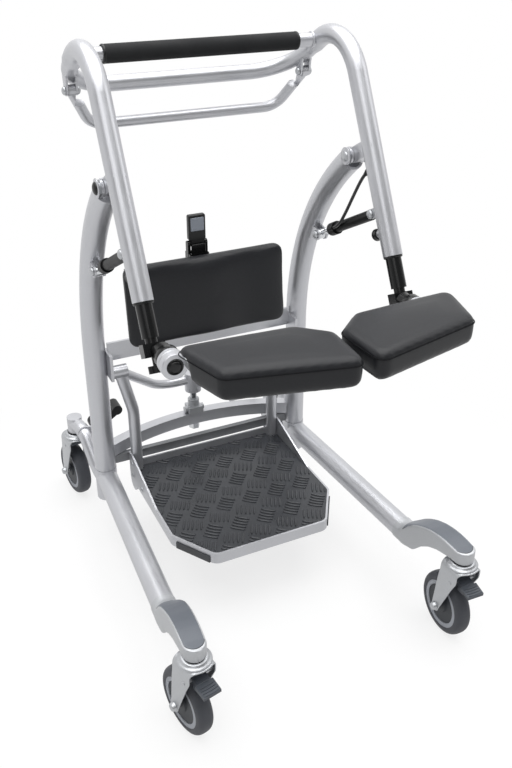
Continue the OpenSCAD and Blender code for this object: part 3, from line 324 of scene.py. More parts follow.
def plump(piece, held, cap, voxel):
    """Padded cover: remesh to even faces, let cloth pressure push the cover out for 20 frames with the held
    points fixed, keep each point within cap of where it started, and even the moves out. held takes the points
    and returns a mask."""
    net = piece.modifiers.new("even_net", "REMESH")
    net.mode = "VOXEL"
    net.voxel_size = voxel
    scene = bpy.context.scene
    graph = bpy.context.evaluated_depsgraph_get()
    mesh = bpy.data.meshes.new_from_object(piece.evaluated_get(graph))
    piece.modifiers.remove(net)
    old = piece.data
    piece.data = mesh
    bpy.data.meshes.remove(old)
    mesh.name = piece.name
    start = points_of(mesh)
    fixed = held(start)
    pins = piece.vertex_groups.new(name="held")
    pins.add(np.flatnonzero(fixed).tolist(), 1.0, "REPLACE")
    cloth = piece.modifiers.new("cover", "CLOTH")
    cloth.settings.quality = 6
    cloth.settings.mass = 0.3
    cloth.settings.use_pressure = True
    cloth.settings.uniform_pressure_force = 4.0
    cloth.settings.effector_weights.gravity = 0.0
    cloth.settings.vertex_group_mass = pins.name
    cloth.point_cache.frame_start = 1
    cloth.point_cache.frame_end = 20
    for step in range(1, 21):
        scene.frame_set(step)
    graph = bpy.context.evaluated_depsgraph_get()
    swollen = points_of(piece.evaluated_get(graph).data)
    piece.modifiers.remove(cloth)
    piece.vertex_groups.clear()
    scene.frame_set(1)
    move = swollen - start
    far = np.linalg.norm(move, axis=1, keepdims=True)
    move = even_out(mesh, move * np.minimum(1.0, cap / np.maximum(far, 1e-9)), fixed)
    mesh.vertices.foreach_set("co", (start + move).astype(np.float32).ravel())
    mesh.shade_smooth()
    mesh.update()
    finer = piece.modifiers.new("finer", "SUBSURF")
    finer.levels = 1
    finer.render_levels = 1


def pad(name, rings, held, node, body):
    """A padded cover in the place of a solid pad, riding on a body."""
    piece = skin(name, rings)
    sizes = bpy.context.scene.aid_sizes
    plump(piece, held, sizes.swell, sizes.voxel)
    coat(piece, "cover")
    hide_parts(node)
    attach(piece, body)


# Materials

def add(tree, kind, inputs=None, **settings):
    """Add a node: settings are its own properties, inputs are values or sockets to link from."""
    node = tree.nodes.new(kind)
    for key, value in settings.items():
        setattr(node, key, value)
    for key, value in (inputs or {}).items():
        if isinstance(value, bpy.types.NodeSocket):
            tree.links.new(value, node.inputs[key])
        else:
            node.inputs[key].default_value = value
    return node


def shades(base, low, high):
    """Two shades of a linear colour, darker and lighter by the given shares, with full alpha."""
    return [tuple(min(1.0, c * k) for c in base) + (1.0,) for k in (low, high)]


def scaled(base, share):
    """A linear colour made darker or lighter by a share."""
    return tuple(share * v for v in base)


def finish(name, base, grain_mm, spread, rough, bump, metallic=0.0, ior=1.5, patch_mm=60.0, cells=False):
    """A surface with fine grain and slow changes of tone. grain_mm is the grain's size, spread the shares of the
    base colour that the tone runs between, rough the roughness range, bump the grain's height in millimetres."""
    mat = bpy.data.materials.new(name)
    mat.use_nodes = True
    tree = mat.node_tree
    tree.nodes.clear()
    where = add(tree, "ShaderNodeTexCoord").outputs["Object"]
    if cells:
        grain = add(tree, "ShaderNodeTexVoronoi", {"Vector": where, "Scale": 1000.0 / grain_mm},
                    feature="SMOOTH_F1").outputs["Distance"]
    else:
        grain = add(tree, "ShaderNodeTexNoise", {"Vector": where, "Scale": 1000.0 / grain_mm,
                                                 "Detail": 2.0}).outputs["Fac"]
    patch = add(tree, "ShaderNodeTexNoise", {"Vector": where, "Scale": 1000.0 / patch_mm,
                                             "Detail": 4.0}).outputs["Fac"]
    mixed = add(tree, "ShaderNodeMath", {0: grain, 1: patch}, operation="ADD").outputs[0]
    tone = add(tree, "ShaderNodeMapRange", {"Value": mixed, "From Min": 0.6, "From Max": 1.4}).outputs["Result"]
    ramp = add(tree, "ShaderNodeValToRGB", {"Fac": tone})
    dark, light = shades(base, *spread)
    ramp.color_ramp.elements[0].color = dark
    ramp.color_ramp.elements[1].color = light
    gloss = add(tree, "ShaderNodeMapRange", {"Value": patch, "From Min": 0.3, "From Max": 0.7,
                                             "To Min": rough[0], "To Max": rough[1]}).outputs["Result"]
    relief = add(tree, "ShaderNodeBump", {"Height": grain, "Strength": 0.6, "Distance": bump / 1000.0})
    shader = add(tree, "ShaderNodeBsdfPrincipled", {"Base Color": ramp.outputs["Color"], "Roughness": gloss,
                                                    "Normal": relief.outputs["Normal"], "Metallic": metallic,
                                                    "IOR": ior})
    add(tree, "ShaderNodeOutputMaterial", {"Surface": shader.outputs["BSDF"]})
    return mat


def finishes():
    """Every finish of the aid by its short name. Grain finer than about 1.5 mm is drawn at that size, because a
    finer one doesn't show."""
    c = bpy.context.scene.aid_colours
    return {
        # Metallic powder coat on steel tube: soft silver with fine orange peel
        "silver": finish("silver_powder_coat", c.silver, 1.6, (0.95, 1.04), (0.32, 0.40), 0.02, 0.72),
        # Enamel on cast aluminium: paler and flatter than the tubes
        "cast": finish("cast_aluminium_enamel", c.cast, 2.2, (0.94, 1.04), (0.34, 0.42), 0.06, 0.45),
        # Bright zinc plate on pressed steel: patchy sheen
        "zinc": finish("bright_zinc_plate", c.zinc, 3.0, (0.92, 1.04), (0.34, 0.44), 0.008, 0.9, patch_mm=22.0),
        # Dull steel bar: rougher than the plated pieces; its colour, 0.55 of the zinc, is darkened as painted shade
        # from the seats above it
        "bar": finish("dull_steel_painted_shade", scaled(c.zinc, 0.55), 3.0, (0.92, 1.06), (0.46, 0.56), 0.01, 0.8,
                      patch_mm=22.0),
        # Hard chrome on ground rod: near mirror
        "chrome": finish("hard_chrome", c.chrome, 2.0, (0.95, 1.03), (0.08, 0.16), 0.01, 1.0),
        # Satin black paint on steel: soft highlight with faint haze
        "satin_black": finish("satin_black_paint", c.satin_black, 1.8, (0.85, 1.25), (0.18, 0.28), 0.02, ior=1.42),
        # Stoved black paint on drawn tube: duller than the satin pieces
        "barrel": finish("stoved_black_paint", c.satin_black, 1.8, (0.85, 1.2), (0.42, 0.52), 0.03, ior=1.3),
        # Moulded ABS with a spark eroded texture
        "black_abs": finish("moulded_black_abs", c.black_abs, 1.5, (0.85, 1.25), (0.32, 0.44), 0.06, ior=1.42),
        "pedal": finish("moulded_grey_nylon", c.pedal, 1.5, (0.90, 1.10), (0.42, 0.55), 0.08, ior=1.53),
        "hub": finish("moulded_hub_nylon", scaled(c.pedal, 0.5), 1.8, (0.92, 1.08), (0.46, 0.58), 0.04,
                      ior=1.45),
        "inlay": finish("moulded_grey_abs", c.inlay, 1.5, (0.94, 1.06), (0.36, 0.46), 0.05, ior=1.53),
        "panel": finish("moulded_pale_abs", scaled(c.inlay, 1.9), 1.5, (0.95, 1.05), (0.36, 0.46),
                        0.04, ior=1.53),
        "rim": finish("moulded_rim_nylon", c.rim, 1.8, (0.93, 1.06), (0.42, 0.54), 0.05, ior=1.53),
        # Cast polyurethane: dull, slightly dusty
        "tyre": finish("cast_polyurethane", c.tyre, 2.0, (0.88, 1.14), (0.52, 0.68), 0.06, ior=1.49,
                       patch_mm=25.0),
        # Coated fabric over foam: fine hide grain and a soft sheen
        "cover": finish("coated_fabric_cover", c.cover, 1.9, (0.88, 1.12), (0.36, 0.46), 0.10, ior=1.34,
                        patch_mm=90.0, cells=True),
        # The seam cord is a real seam; its colour, 0.45 of the cover, is painted shade of the crease along it
        "seam": finish("coated_fabric_seam", scaled(c.cover, 0.45), 1.6, (0.9, 1.1), (0.7, 0.8), 0.05,
                       ior=1.2),
        # Closed cell foam: dull and pitted
        "foam": finish("closed_cell_foam", c.foam, 1.6, (0.75, 1.35), (0.75, 0.9), 0.25, ior=1.45, cells=True),
        # Moulded rubber: dull black grey with a bloom
        "mat": finish("moulded_rubber", c.mat, 1.6, (0.78, 1.25), (0.26, 0.36), 0.04, ior=1.5, patch_mm=45.0),
        # Extruded vinyl: smooth black
        "sheath": finish("extruded_vinyl", c.sheath, 2.0, (0.9, 1.1), (0.30, 0.38), 0.02, ior=1.53),
    }


def coat(piece, key):
    """Give a piece one of the finishes, made on first use."""
    if not FINISHES:
        FINISHES.update(finishes())
    piece.data.materials.clear()
    piece.data.materials.append(FINISHES[key])


def part(name, rings, key, slot, body, loop=False, instead_of=None):
    """A finished piece: rings of points made a mesh, given a finish, put in a solid's place where one is
    named, and riding on a body. The slot is not used."""
    piece = skin(name, rings, loop)
    coat(piece, key)
    if instead_of:
        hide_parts(instead_of)
    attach(piece, body)


class AID_OT_stage(bpy.types.Operator):
    """Pale floor, soft studio light and the camera"""

    bl_idname = "aid.stage"
    bl_label = "Stage"

    def execute(self, context):
        scene = context.scene
        scene.view_settings.view_transform = "Standard"
        lens = bpy.data.cameras.new("camera")
        lens.lens = 40.26
        lens.sensor_width = 36.0
        lens.shift_x = 0.0041
        lens.shift_y = -0.0184
        eye = bpy.data.objects.new("camera", lens)
        eye.location = (-0.6055, -1.3329, 1.2561)
        eye.rotation_euler = (math.radians(61.34), 0.0, math.radians(-25.30))
        scene.collection.objects.link(eye)
        scene.camera = eye
        lamps = {"key": ((-1.4, -2.0, 2.7), 2.0, 19.0), "fill": ((2.4, -0.9, 2.2), 1.4, 10.0),
                 "top": ((0.1, 0.2, 5.2), 6.5, 390.0)}
        for name, (at, side, power) in lamps.items():
            data = bpy.data.lights.new(name, "AREA")
            data.size = side
            data.energy = power
            lamp = bpy.data.objects.new(name, data)
            lamp.location = at
            aim = np.array([0.0, 0.0, 0.45]) - np.array(at)
            lamp.rotation_euler = (math.atan2(math.hypot(aim[0], aim[1]), -aim[2]), 0.0,
                                   math.atan2(aim[1], aim[0]) - math.pi / 2)
            scene.collection.objects.link(lamp)
        world = bpy.data.worlds.new("studio")
        world.use_nodes = True
        tree = world.node_tree
        tree.nodes.clear()
        path = add(tree, "ShaderNodeLightPath")
        plain = add(tree, "ShaderNodeMath", {0: path.outputs["Is Camera Ray"],
                                             1: path.outputs["Is Transmission Ray"]}, operation="MAXIMUM")
        # Glossy surfaces see the white background behind the aid and a dimmer room in front of it
        way = add(tree, "ShaderNodeSeparateXYZ", {0: add(tree, "ShaderNodeTexCoord").outputs["Generated"]})
        room = add(tree, "ShaderNodeMapRange", {"Value": way.outputs["Y"], "From Min": -0.5, "From Max": 0.2,
                                                "To Min": 0.30, "To Max": 1.0}, interpolation_type="SMOOTHSTEP")
        glossy = add(tree, "ShaderNodeMath", {0: path.outputs["Is Glossy Ray"], 1: room.outputs["Result"]},
                     operation="MULTIPLY")
        seen = add(tree, "ShaderNodeMath", {0: plain.outputs[0], 1: glossy.outputs[0]}, operation="MAXIMUM")
        level = add(tree, "ShaderNodeMath", {0: seen.outputs[0], 1: 0.14}, operation="MAXIMUM")
        sky = add(tree, "ShaderNodeBackground", {"Color": (1.0, 1.0, 1.0, 1.0), "Strength": level.outputs[0]})
        add(tree, "ShaderNodeOutputWorld", {"Surface": sky.outputs["Background"]})
        scene.world = world
        self.floor()
        return {"FINISHED"}

    def floor(self):
        """White floor: it takes the shadow near the aid and fades to plain white with distance."""
        side = 20.0
        mesh = bpy.data.meshes.new("floor")
        mesh.from_pydata(np.array([[-1, -1, 0], [1, -1, 0], [1, 1, 0], [-1, 1, 0]]) * side, [], [[0, 1, 2, 3]])
        floor = bpy.data.objects.new("floor", mesh)
        bpy.context.scene.collection.objects.link(floor)
        mat = bpy.data.materials.new("white_floor")
        mat.use_nodes = True
        tree = mat.node_tree
        tree.nodes.clear()
        where = add(tree, "ShaderNodeTexCoord").outputs["Object"]
        far = add(tree, "ShaderNodeVectorMath", {0: where}, operation="LENGTH").outputs["Value"]
        fade = add(tree, "ShaderNodeMapRange", {"Value": far, "From Min": 0.30, "From Max": 0.9, "To Min": 0.75,
                                                "To Max": 1.0}, interpolation_type="SMOOTHSTEP")
        path = add(tree, "ShaderNodeLightPath")
        seen = add(tree, "ShaderNodeMath", {0: path.outputs["Is Camera Ray"], 1: path.outputs["Is Glossy Ray"]},
                   operation="MAXIMUM")
        share = add(tree, "ShaderNodeMath", {0: seen.outputs[0], 1: fade.outputs["Result"]}, operation="MULTIPLY")
        tone = add(tree, "ShaderNodeMapRange", {"Value": path.outputs["Is Camera Ray"], "To Min": 0.55,
                                                "To Max": 0.98})
        matt = add(tree, "ShaderNodeBsdfDiffuse", {"Color": tone.outputs["Result"]})
        glow = add(tree, "ShaderNodeEmission", {"Color": (1.0, 1.0, 1.0, 1.0), "Strength": 1.0})
        both = add(tree, "ShaderNodeMixShader", {0: share.outputs[0], 1: matt.outputs[0], 2: glow.outputs[0]})
        add(tree, "ShaderNodeOutputMaterial", {"Surface": both.outputs[0]})
        mesh.materials.append(mat)


class AID_OT_cables(bpy.types.Operator):
    """Release cables from the arms to the strut heads"""

    bl_idname = "aid.cables"
    bl_label = "Release cables"

    # Route on the right side in millimetres: x, distance behind the front stems, height
    knots = mm([[225.7, 340.6, 832.3], [223.3, 348.5, 823], [221.2, 358, 807], [219.6, 368.5, 787.5],
                      [218.6, 380, 767], [218, 391.5, 747], [218, 401.5, 732], [218.3, 411, 718.8],
                      [219, 422, 708.4], [219.7, 433, 700.9], [220, 440.93, 696.77]])
    # Grommet in the arm: radius and distance along the cable
    boot = mm([[0.2, -2.0], [5.2, -2.0], [5.2, 1.5], [4.6, 3.0], [3.7, 9.0], [3.2, 9.6], [0.2, 9.6]])
    soften = np.array([1, 4, 6, 4, 1]) / 16.0

    def execute(self, context):
        d = context.scene.aid_sizes.cable
        right = self.route()
        for side, s in SIDES.items():
            path = (right - [0.0, MID_BACK, 0.0]) * [s, 1.0, 1.0]
            cable = skin("cable_" + side, swept(path, d / 2, n=16))
            coat(cable, "sheath")
            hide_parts("release_cable_" + side)
            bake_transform(cable)
            part("cable_grommet_" + side, turned(self.boot, path[0], path[3] - path[0], 28), "black_abs",
                 "black_plastic", "handle_frame")
        return {"FINISHED"}

    def route(self):
        """33 points at equal steps along the knots, each then a weighted mean of itself and its neighbours."""
        route = spaced(self.knots, np.linspace(0, 1, 33))
        return join(*(np.convolve(np.pad(v, 2, mode="reflect", reflect_type="odd"), self.soften, mode="valid")
                      for v in route.T))


class AID_OT_finishes(bpy.types.Operator):
    """Finishes of the solid pieces"""

    bl_idname = "aid.finishes"
    bl_label = "Finishes"

    def execute(self, context):
        for key, names in SOLIDS.items():
            for name in names:
                coat(bpy.data.objects[name], key)
        return {"FINISHED"}


class AID_OT_seats(bpy.types.Operator):
    """Padded seats with a seam round the top edge"""

    bl_idname = "aid.seats"
    bl_label = "Seats"

    # Corners of the right seat seen from above, x and distance behind the front stems, and their radius
    plan = mm([[247, 103], [52, 91], [2, 46], [8, -61], [215, -11]])
    corner = 0.019
    low, high = 0.650, 0.053
    # The side is drawn in at the foot, up to a share of the height; the seam lies at another share
    tuck, tuck_end, edge = 0.009, 0.62, 0.75
    roll, crown = 0.016, 0.0012
    # Room for the hinge: its axis, the radius kept free, and where that begins
    hinge_x, hinge_z = 0.225, 0.639
    relief = 0.0510
    relief_back = (0.060, 0.070)
    # How far from the seam, and from the underside and the hinge, points are held
    seam_hold, hold = 0.006, 0.004

    def execute(self, context):
        sizes = context.scene.aid_sizes
        line = evenly(rounded(self.plan, self.corner), 180)
        start = sizes.swell / 2
        for side, s in SIDES.items():
            mirror, shift = [s, 1.0, 1.0], [0.0, MID_BACK, 0.0]
            sunk = line + inward(line) * (start - sizes.seam / 8)
            seam = join(*sunk.T, self.low + self.edge * (self.high - start)) * mirror - shift
            pad("seat_cover_" + side, self.form(line, start) * mirror - shift,
                lambda p, ring=seam: self.held(p, ring), "seat_pad_" + side, "seat_" + side)
            part("seat_seam_" + side, swept(seam, sizes.seam / 2, across=Z_AXIS, n=8, loop=True), "seam",
                 "pad_cover", "seat_" + side, loop=True)
        return {"FINISHED"}

    def form(self, line, start):
        """Rings of the seat. Underside: the outline drawn in by the tuck, shrunk towards the middle. Side: the
        tuck falls as the fifth power of the height left to its end. Edge over the seam: a quarter of an ellipse.
        Top: falls from the crown with the square of the share of the outline. Round the hinge the underside
        rises to a cylinder. start makes it smaller by that much, for the foam to push out."""
        h = np.linspace(0, self.edge, 16)
        phi = np.linspace(0, math.pi / 2, 13)[1:]
        top = np.linspace(1.0, 0.04, 13)[1:]
        tuck = self.tuck * np.clip(1 - h / self.tuck_end, 0, 1) ** 5
        inset = np.concatenate([np.full(8, self.tuck), tuck, self.roll * (1 - np.cos(phi)), np.full(12, self.roll)])
        share = np.concatenate([np.linspace(0.04, 0.99, 8), np.ones(28), top])
        over = (1 - self.edge) * self.high - self.crown
        rise = np.concatenate([np.zeros(8), h * self.high, self.edge * self.high + over * np.sin(phi),
                               self.high - self.crown * top ** 2])
        rise = self.low + rise * (self.high - start) / self.high
        flat = shrunk(line, inset + start, share)
        z = rise[:, None]
        off = np.clip(abs(flat[..., 0] - self.hinge_x) / self.relief, 0, 1)
        arch = self.hinge_z + self.relief * np.sqrt(1 - off ** 2)
        near = np.clip((flat[..., 1] - self.relief_back[0]) / (self.relief_back[1] - self.relief_back[0]), 0, 1)
        z = z + near * np.maximum(arch - z, 0.0)
        return np.concatenate([flat, z[..., None]], -1)

    def held(self, points, ring):
        """Points that don't swell: those near the seam, the underside and the hinge."""
        near = np.linalg.norm(points[:, None, :2] - ring[None, :, :2], axis=2).min(1) < self.seam_hold
        seam = near & (abs(points[:, 2] - ring[0, 2]) < self.hold)
        off = np.hypot(abs(points[:, 0]) - self.hinge_x, points[:, 2] - self.hinge_z)
        hinge = (off < self.relief + self.hold) & (points[:, 1] > self.relief_back[0] - MID_BACK)
        return seam | hinge | (points[:, 2] < self.low + self.hold)


class AID_OT_knee_rest(bpy.types.Operator):
    """Padded knee rest with two hollows"""

    bl_idname = "aid.knee_rest"
    bl_label = "Knee rest"

    half, tall, thick = 0.176, 0.176, 0.046
    corner = 0.022
    lean = math.radians(5.5)
    # Foot of the pad's front: distance behind the front stems, and height
    foot = (0.532, 0.464)
    # Shares of the thickness where the side is widest and where it turns into the front
    widest, edge = 0.55, 0.72
    tuck = 0.012
    # Bell shaped hollows: distance from the middle and width; the ridge between them: width and height
    hollow_x, hollow_wide = 0.092, 0.050
    ridge_wide, ridge_high = 0.036, 0.003
    hold = 0.006

    def execute(self, context):
        sizes = context.scene.aid_sizes
        start = sizes.swell / 2
        corners = [[self.half, 0.0], [self.half, self.tall], [-self.half, self.tall], [-self.half, 0.0]]
        line = evenly(rounded(corners, self.corner), 200)
        back, front = self.stand(np.array([[0.0, 0.0, 0.0], [0.0, 0.0, 1.0]]))
        pad("knee_cover", self.stand(self.form(line, start, sizes.hollow)),
            lambda p: (p - back) @ (front - back) < self.hold, "knee_pad", "knee_rest")
        return {"FINISHED"}

    def form(self, line, start, hollow):
        """Rings of the knee rest as (across, up, out from the board). The side is drawn in below its widest share by
        the power 1.6 and above it by the square of the distance, the front follows share to the sixth plus rise
        squared is one, and two bell shaped hollows draw the front back."""
        h = np.linspace(0, self.edge, 14)
        phi = np.linspace(0, math.pi / 2 * 0.995, 30)[1:]
        below, above = np.clip(1 - h / self.widest, 0, None), np.clip(h - self.widest, 0, None)
        side = self.tuck * below ** 1.6 + 0.03 * above ** 2
        tuck = np.concatenate([np.full(8, self.tuck), side, np.full(29, 0.0009)]) + start
        share = np.concatenate([np.linspace(0.05, 0.99, 8), np.ones(14), np.cos(phi) ** (1 / 3)])
        rise = np.concatenate([np.zeros(8), h, self.edge + (1 - self.edge) * np.sin(phi)])
        flat = shrunk(line, tuck, share)
        bell = np.exp(-((abs(flat[..., 0]) - self.hollow_x) / self.hollow_wide) ** 2)
        ridge = np.exp(-(flat[..., 0] / self.ridge_wide) ** 2)
        sunk = rise[:, None] ** 3 * (hollow * bell - self.ridge_high * ridge)
        out = rise[:, None] * (self.thick - start) - sunk
        return np.concatenate([flat, out[..., None]], -1)

    def stand(self, p):
        """From (across, up, out) to the row frame: the board's plane leans back and the pad faces forward."""
        y, z = self.thick - p[..., 2], p[..., 1]
        c, s = math.cos(self.lean), math.sin(self.lean)
        return join(p[..., 0], y * c + z * s, z * c - y * s) + place(0.0, *self.foot)


class AID_OT_tread(bpy.types.Operator):
    """Groups of five raised bars on the footplate mat"""

    bl_idname = "aid.tread"
    bl_label = "Tread"

    # Corners of the mat in millimetres, x and distance behind the front stems, and the height of its face
    corners = mm([[180, 600], [-180, 600], [-180, 340], [-123, 249], [123, 249], [180, 340]])
    face = 0.150
    # Middle of the first group, slants of the two kinds of group, bars in a group, and groups each way from the first
    first = np.array([-0.0115, 0.4225])
    slants = (math.radians(64), math.radians(-40))
    bars_each, reach = 5, 7
    # Bars end this far from the mat's edge, and shorter ones are left out
    margin, shortest = 0.005, 0.008

    def execute(self, context):
        z = context.scene.aid_sizes
        steps = np.arange(-self.reach, self.reach + 1)
        i, j = np.meshgrid(steps, steps, indexing="ij")
        pair = (i + j).ravel() % 2 == 0
        groups = join(i.ravel(), j.ravel())[pair] * [z.group_across, z.group_along] + self.first
        tilt = np.where(i.ravel()[pair] % 2 == 0, *self.slants)
        rows = (np.arange(self.bars_each) - self.bars_each // 2) * z.bar_pitch
        side = join(-np.sin(tilt), np.cos(tilt))
        spots = (groups[:, None] + rows[None, :, None] * side[:, None]).reshape(-1, 2)
        tilt = np.repeat(tilt, self.bars_each)
        along = np.roll(self.corners, -1, 0) - self.corners
        inner = unit(join(-along[:, 1], along[:, 0]))
        way = join(np.cos(tilt), np.sin(tilt))
        room = spots @ inner.T - np.sum(self.corners * inner, 1) - self.margin
        slope = way @ inner.T
        half, tiny = z.bar_length / 2, 1e-6
        low = np.max(np.where(slope > tiny, -room / np.maximum(slope, tiny), -half), 1).clip(-half, half)
        high = np.min(np.where(slope < -tiny, -room / np.minimum(slope, -tiny), half), 1).clip(-half, half)
        keep = high - low > self.shortest
        spots = spots + way * ((low + high) / 2)[:, None]
        spots = np.column_stack([spots, np.full(len(spots), self.face)])[keep] - [0.0, MID_BACK, 0.0]
        part("mat_tread", bars(spots, tilt[keep], (high - low)[keep], z.bar_width, z.bar_height), "mat", "mat_rubber",
             "frame")
        return {"FINISHED"}


class AID_OT_housings(bpy.types.Operator):
    """Cast front housings with a grey panel let into the top"""

    bl_idname = "aid.housings"
    bl_label = "Front housings"

    stem_x = 0.265875
    splay = math.radians(3.1)
    length, nose = 0.178, 0.0205
    # How far the tip of the nose lies above the underside and below the top
    tip_rise, tip_fall = 0.0015, 0.0045
    # Panel: its ends, half width, the wall left beside it, and its depth
    panel_ends, panel_half = (-0.0140, 0.150), 0.0176
    panel_wall, panel_deep = 0.0029, 0.0025
    # Distance behind the stem, width, underside, top and corner radius, in millimetres
    rows = mm([[0, 41, 191.6, 217.5, 3.5], [14, 42, 191.6, 219, 3.5], [30, 42.5, 188.5, 220, 3.5],
                     [50, 43, 184, 219, 3.5], [73, 44, 174, 215, 4], [96, 45, 157, 207, 4.5],
                     [112, 46, 138, 199, 5], [118, 46, 134, 195.5, 5.5], [131, 46.5, 129, 187, 9],
                     [146, 47, 120.5, 174.5, 16], [156, 47, 117, 167, 21], [164, 47, 116.5, 163.5, 23.5],
                     [178, 47, 116.5, 163.5, 23.5]])

    def execute(self, context):
        turn = np.linspace(0.08, np.pi / 2, 12)[:-1]
        b = np.concatenate([-self.nose * np.cos(turn), np.linspace(0.0, self.length, 72)])
        w, low, top, corner = self.sizes(b)
        box = round_box(w, top - low, np.minimum(corner, 0.48 * w), 8)
        rings = join(box[..., 0], b[:, None], box[..., 1] + ((top + low) / 2)[:, None])
        for side, s in SIDES.items():
            leg = "leg_" + side
            part("housing_body_" + side, self.stand(rings, s), "cast", "silver_frame", leg,
                 instead_of="front_housing_" + side)
            part("housing_panel_" + side, self.stand(self.panel(0.0, 0.0006), s), "inlay", "grey_plastic", leg,
                 instead_of="housing_inlay_" + side)
            part("housing_joint_" + side, self.stand(self.panel(0.0007, 0.00015), s), "black_abs", "black_plastic",
                 leg)
        return {"FINISHED"}

    def sizes(self, b):
        """Width, underside, top and corner radius at each distance: the rows joined by straight lines, smoothed by
        a running mean, with a round nose in front of the stem."""
        fine = np.linspace(0.0, self.length, 179)
        mean = np.ones(9) / 9
        rows = [np.interp(fine, self.rows[:, 0], v) for v in self.rows[:, 1:].T]
        rows = [np.convolve(np.pad(v, 4, mode="edge"), mean, mode="valid") for v in rows]
        w, low, top, corner = (np.interp(b, fine, v) for v in rows)
        share = np.sqrt(1 - np.clip(-b / self.nose, 0, 1) ** 2)
        return w * share, low + self.tip_rise * (1 - share) ** 3, top - self.tip_fall * (1 - share) ** 2, corner

    def panel(self, wider, lift):
        """Rings of the panel: a strip of the housing's top, raised by lift and closed below, whose front end is a
        half circle."""
        first, last, half = self.panel_ends[0] - wider, self.panel_ends[1] + wider, self.panel_half + wider
        turn = np.linspace(0.12, np.pi / 2, 12)[:-1]
        b = np.concatenate([first + half * (1 - np.cos(turn)) * 0.98, np.linspace(first + half, last, 60)])
        top, corner = self.sizes(b)[2:]
        w = self.sizes(np.maximum(b, 0.0))[0]
        reach = np.minimum(w / 2 - self.panel_wall + wider, half * 1.16)
        reach[:len(turn)] = reach[len(turn)] * np.sin(turn)
        u = np.linspace(-1, 1, 21)
        x = reach[:, None] * u
        over = np.clip(abs(x) - (w / 2 - corner)[:, None], 0, None)
        z = top[:, None] - corner[:, None] + np.sqrt(np.maximum(corner[:, None] ** 2 - over ** 2, 0))
        z = z + self.tip_fall * (1 - np.sqrt(1 - np.clip(-b / self.nose, 0, 0.97) ** 2))[:, None] ** 2
        upper = join(x, b[:, None], z + lift * (1 - u ** 8))
        lower = join(x, b[:, None], z - self.panel_deep)[:, ::-1]
        return np.concatenate([upper, lower], 1)

    def stand(self, p, s):
        """From the housing's own frame, y along the leg from the stem, to the row frame."""
        c, k = math.cos(self.splay), math.sin(self.splay)
        x, y, z = np.moveaxis(p, -1, 0)
        return join(s * (self.stem_x + x * c - y * k), x * k + y * c - MID_BACK, z)


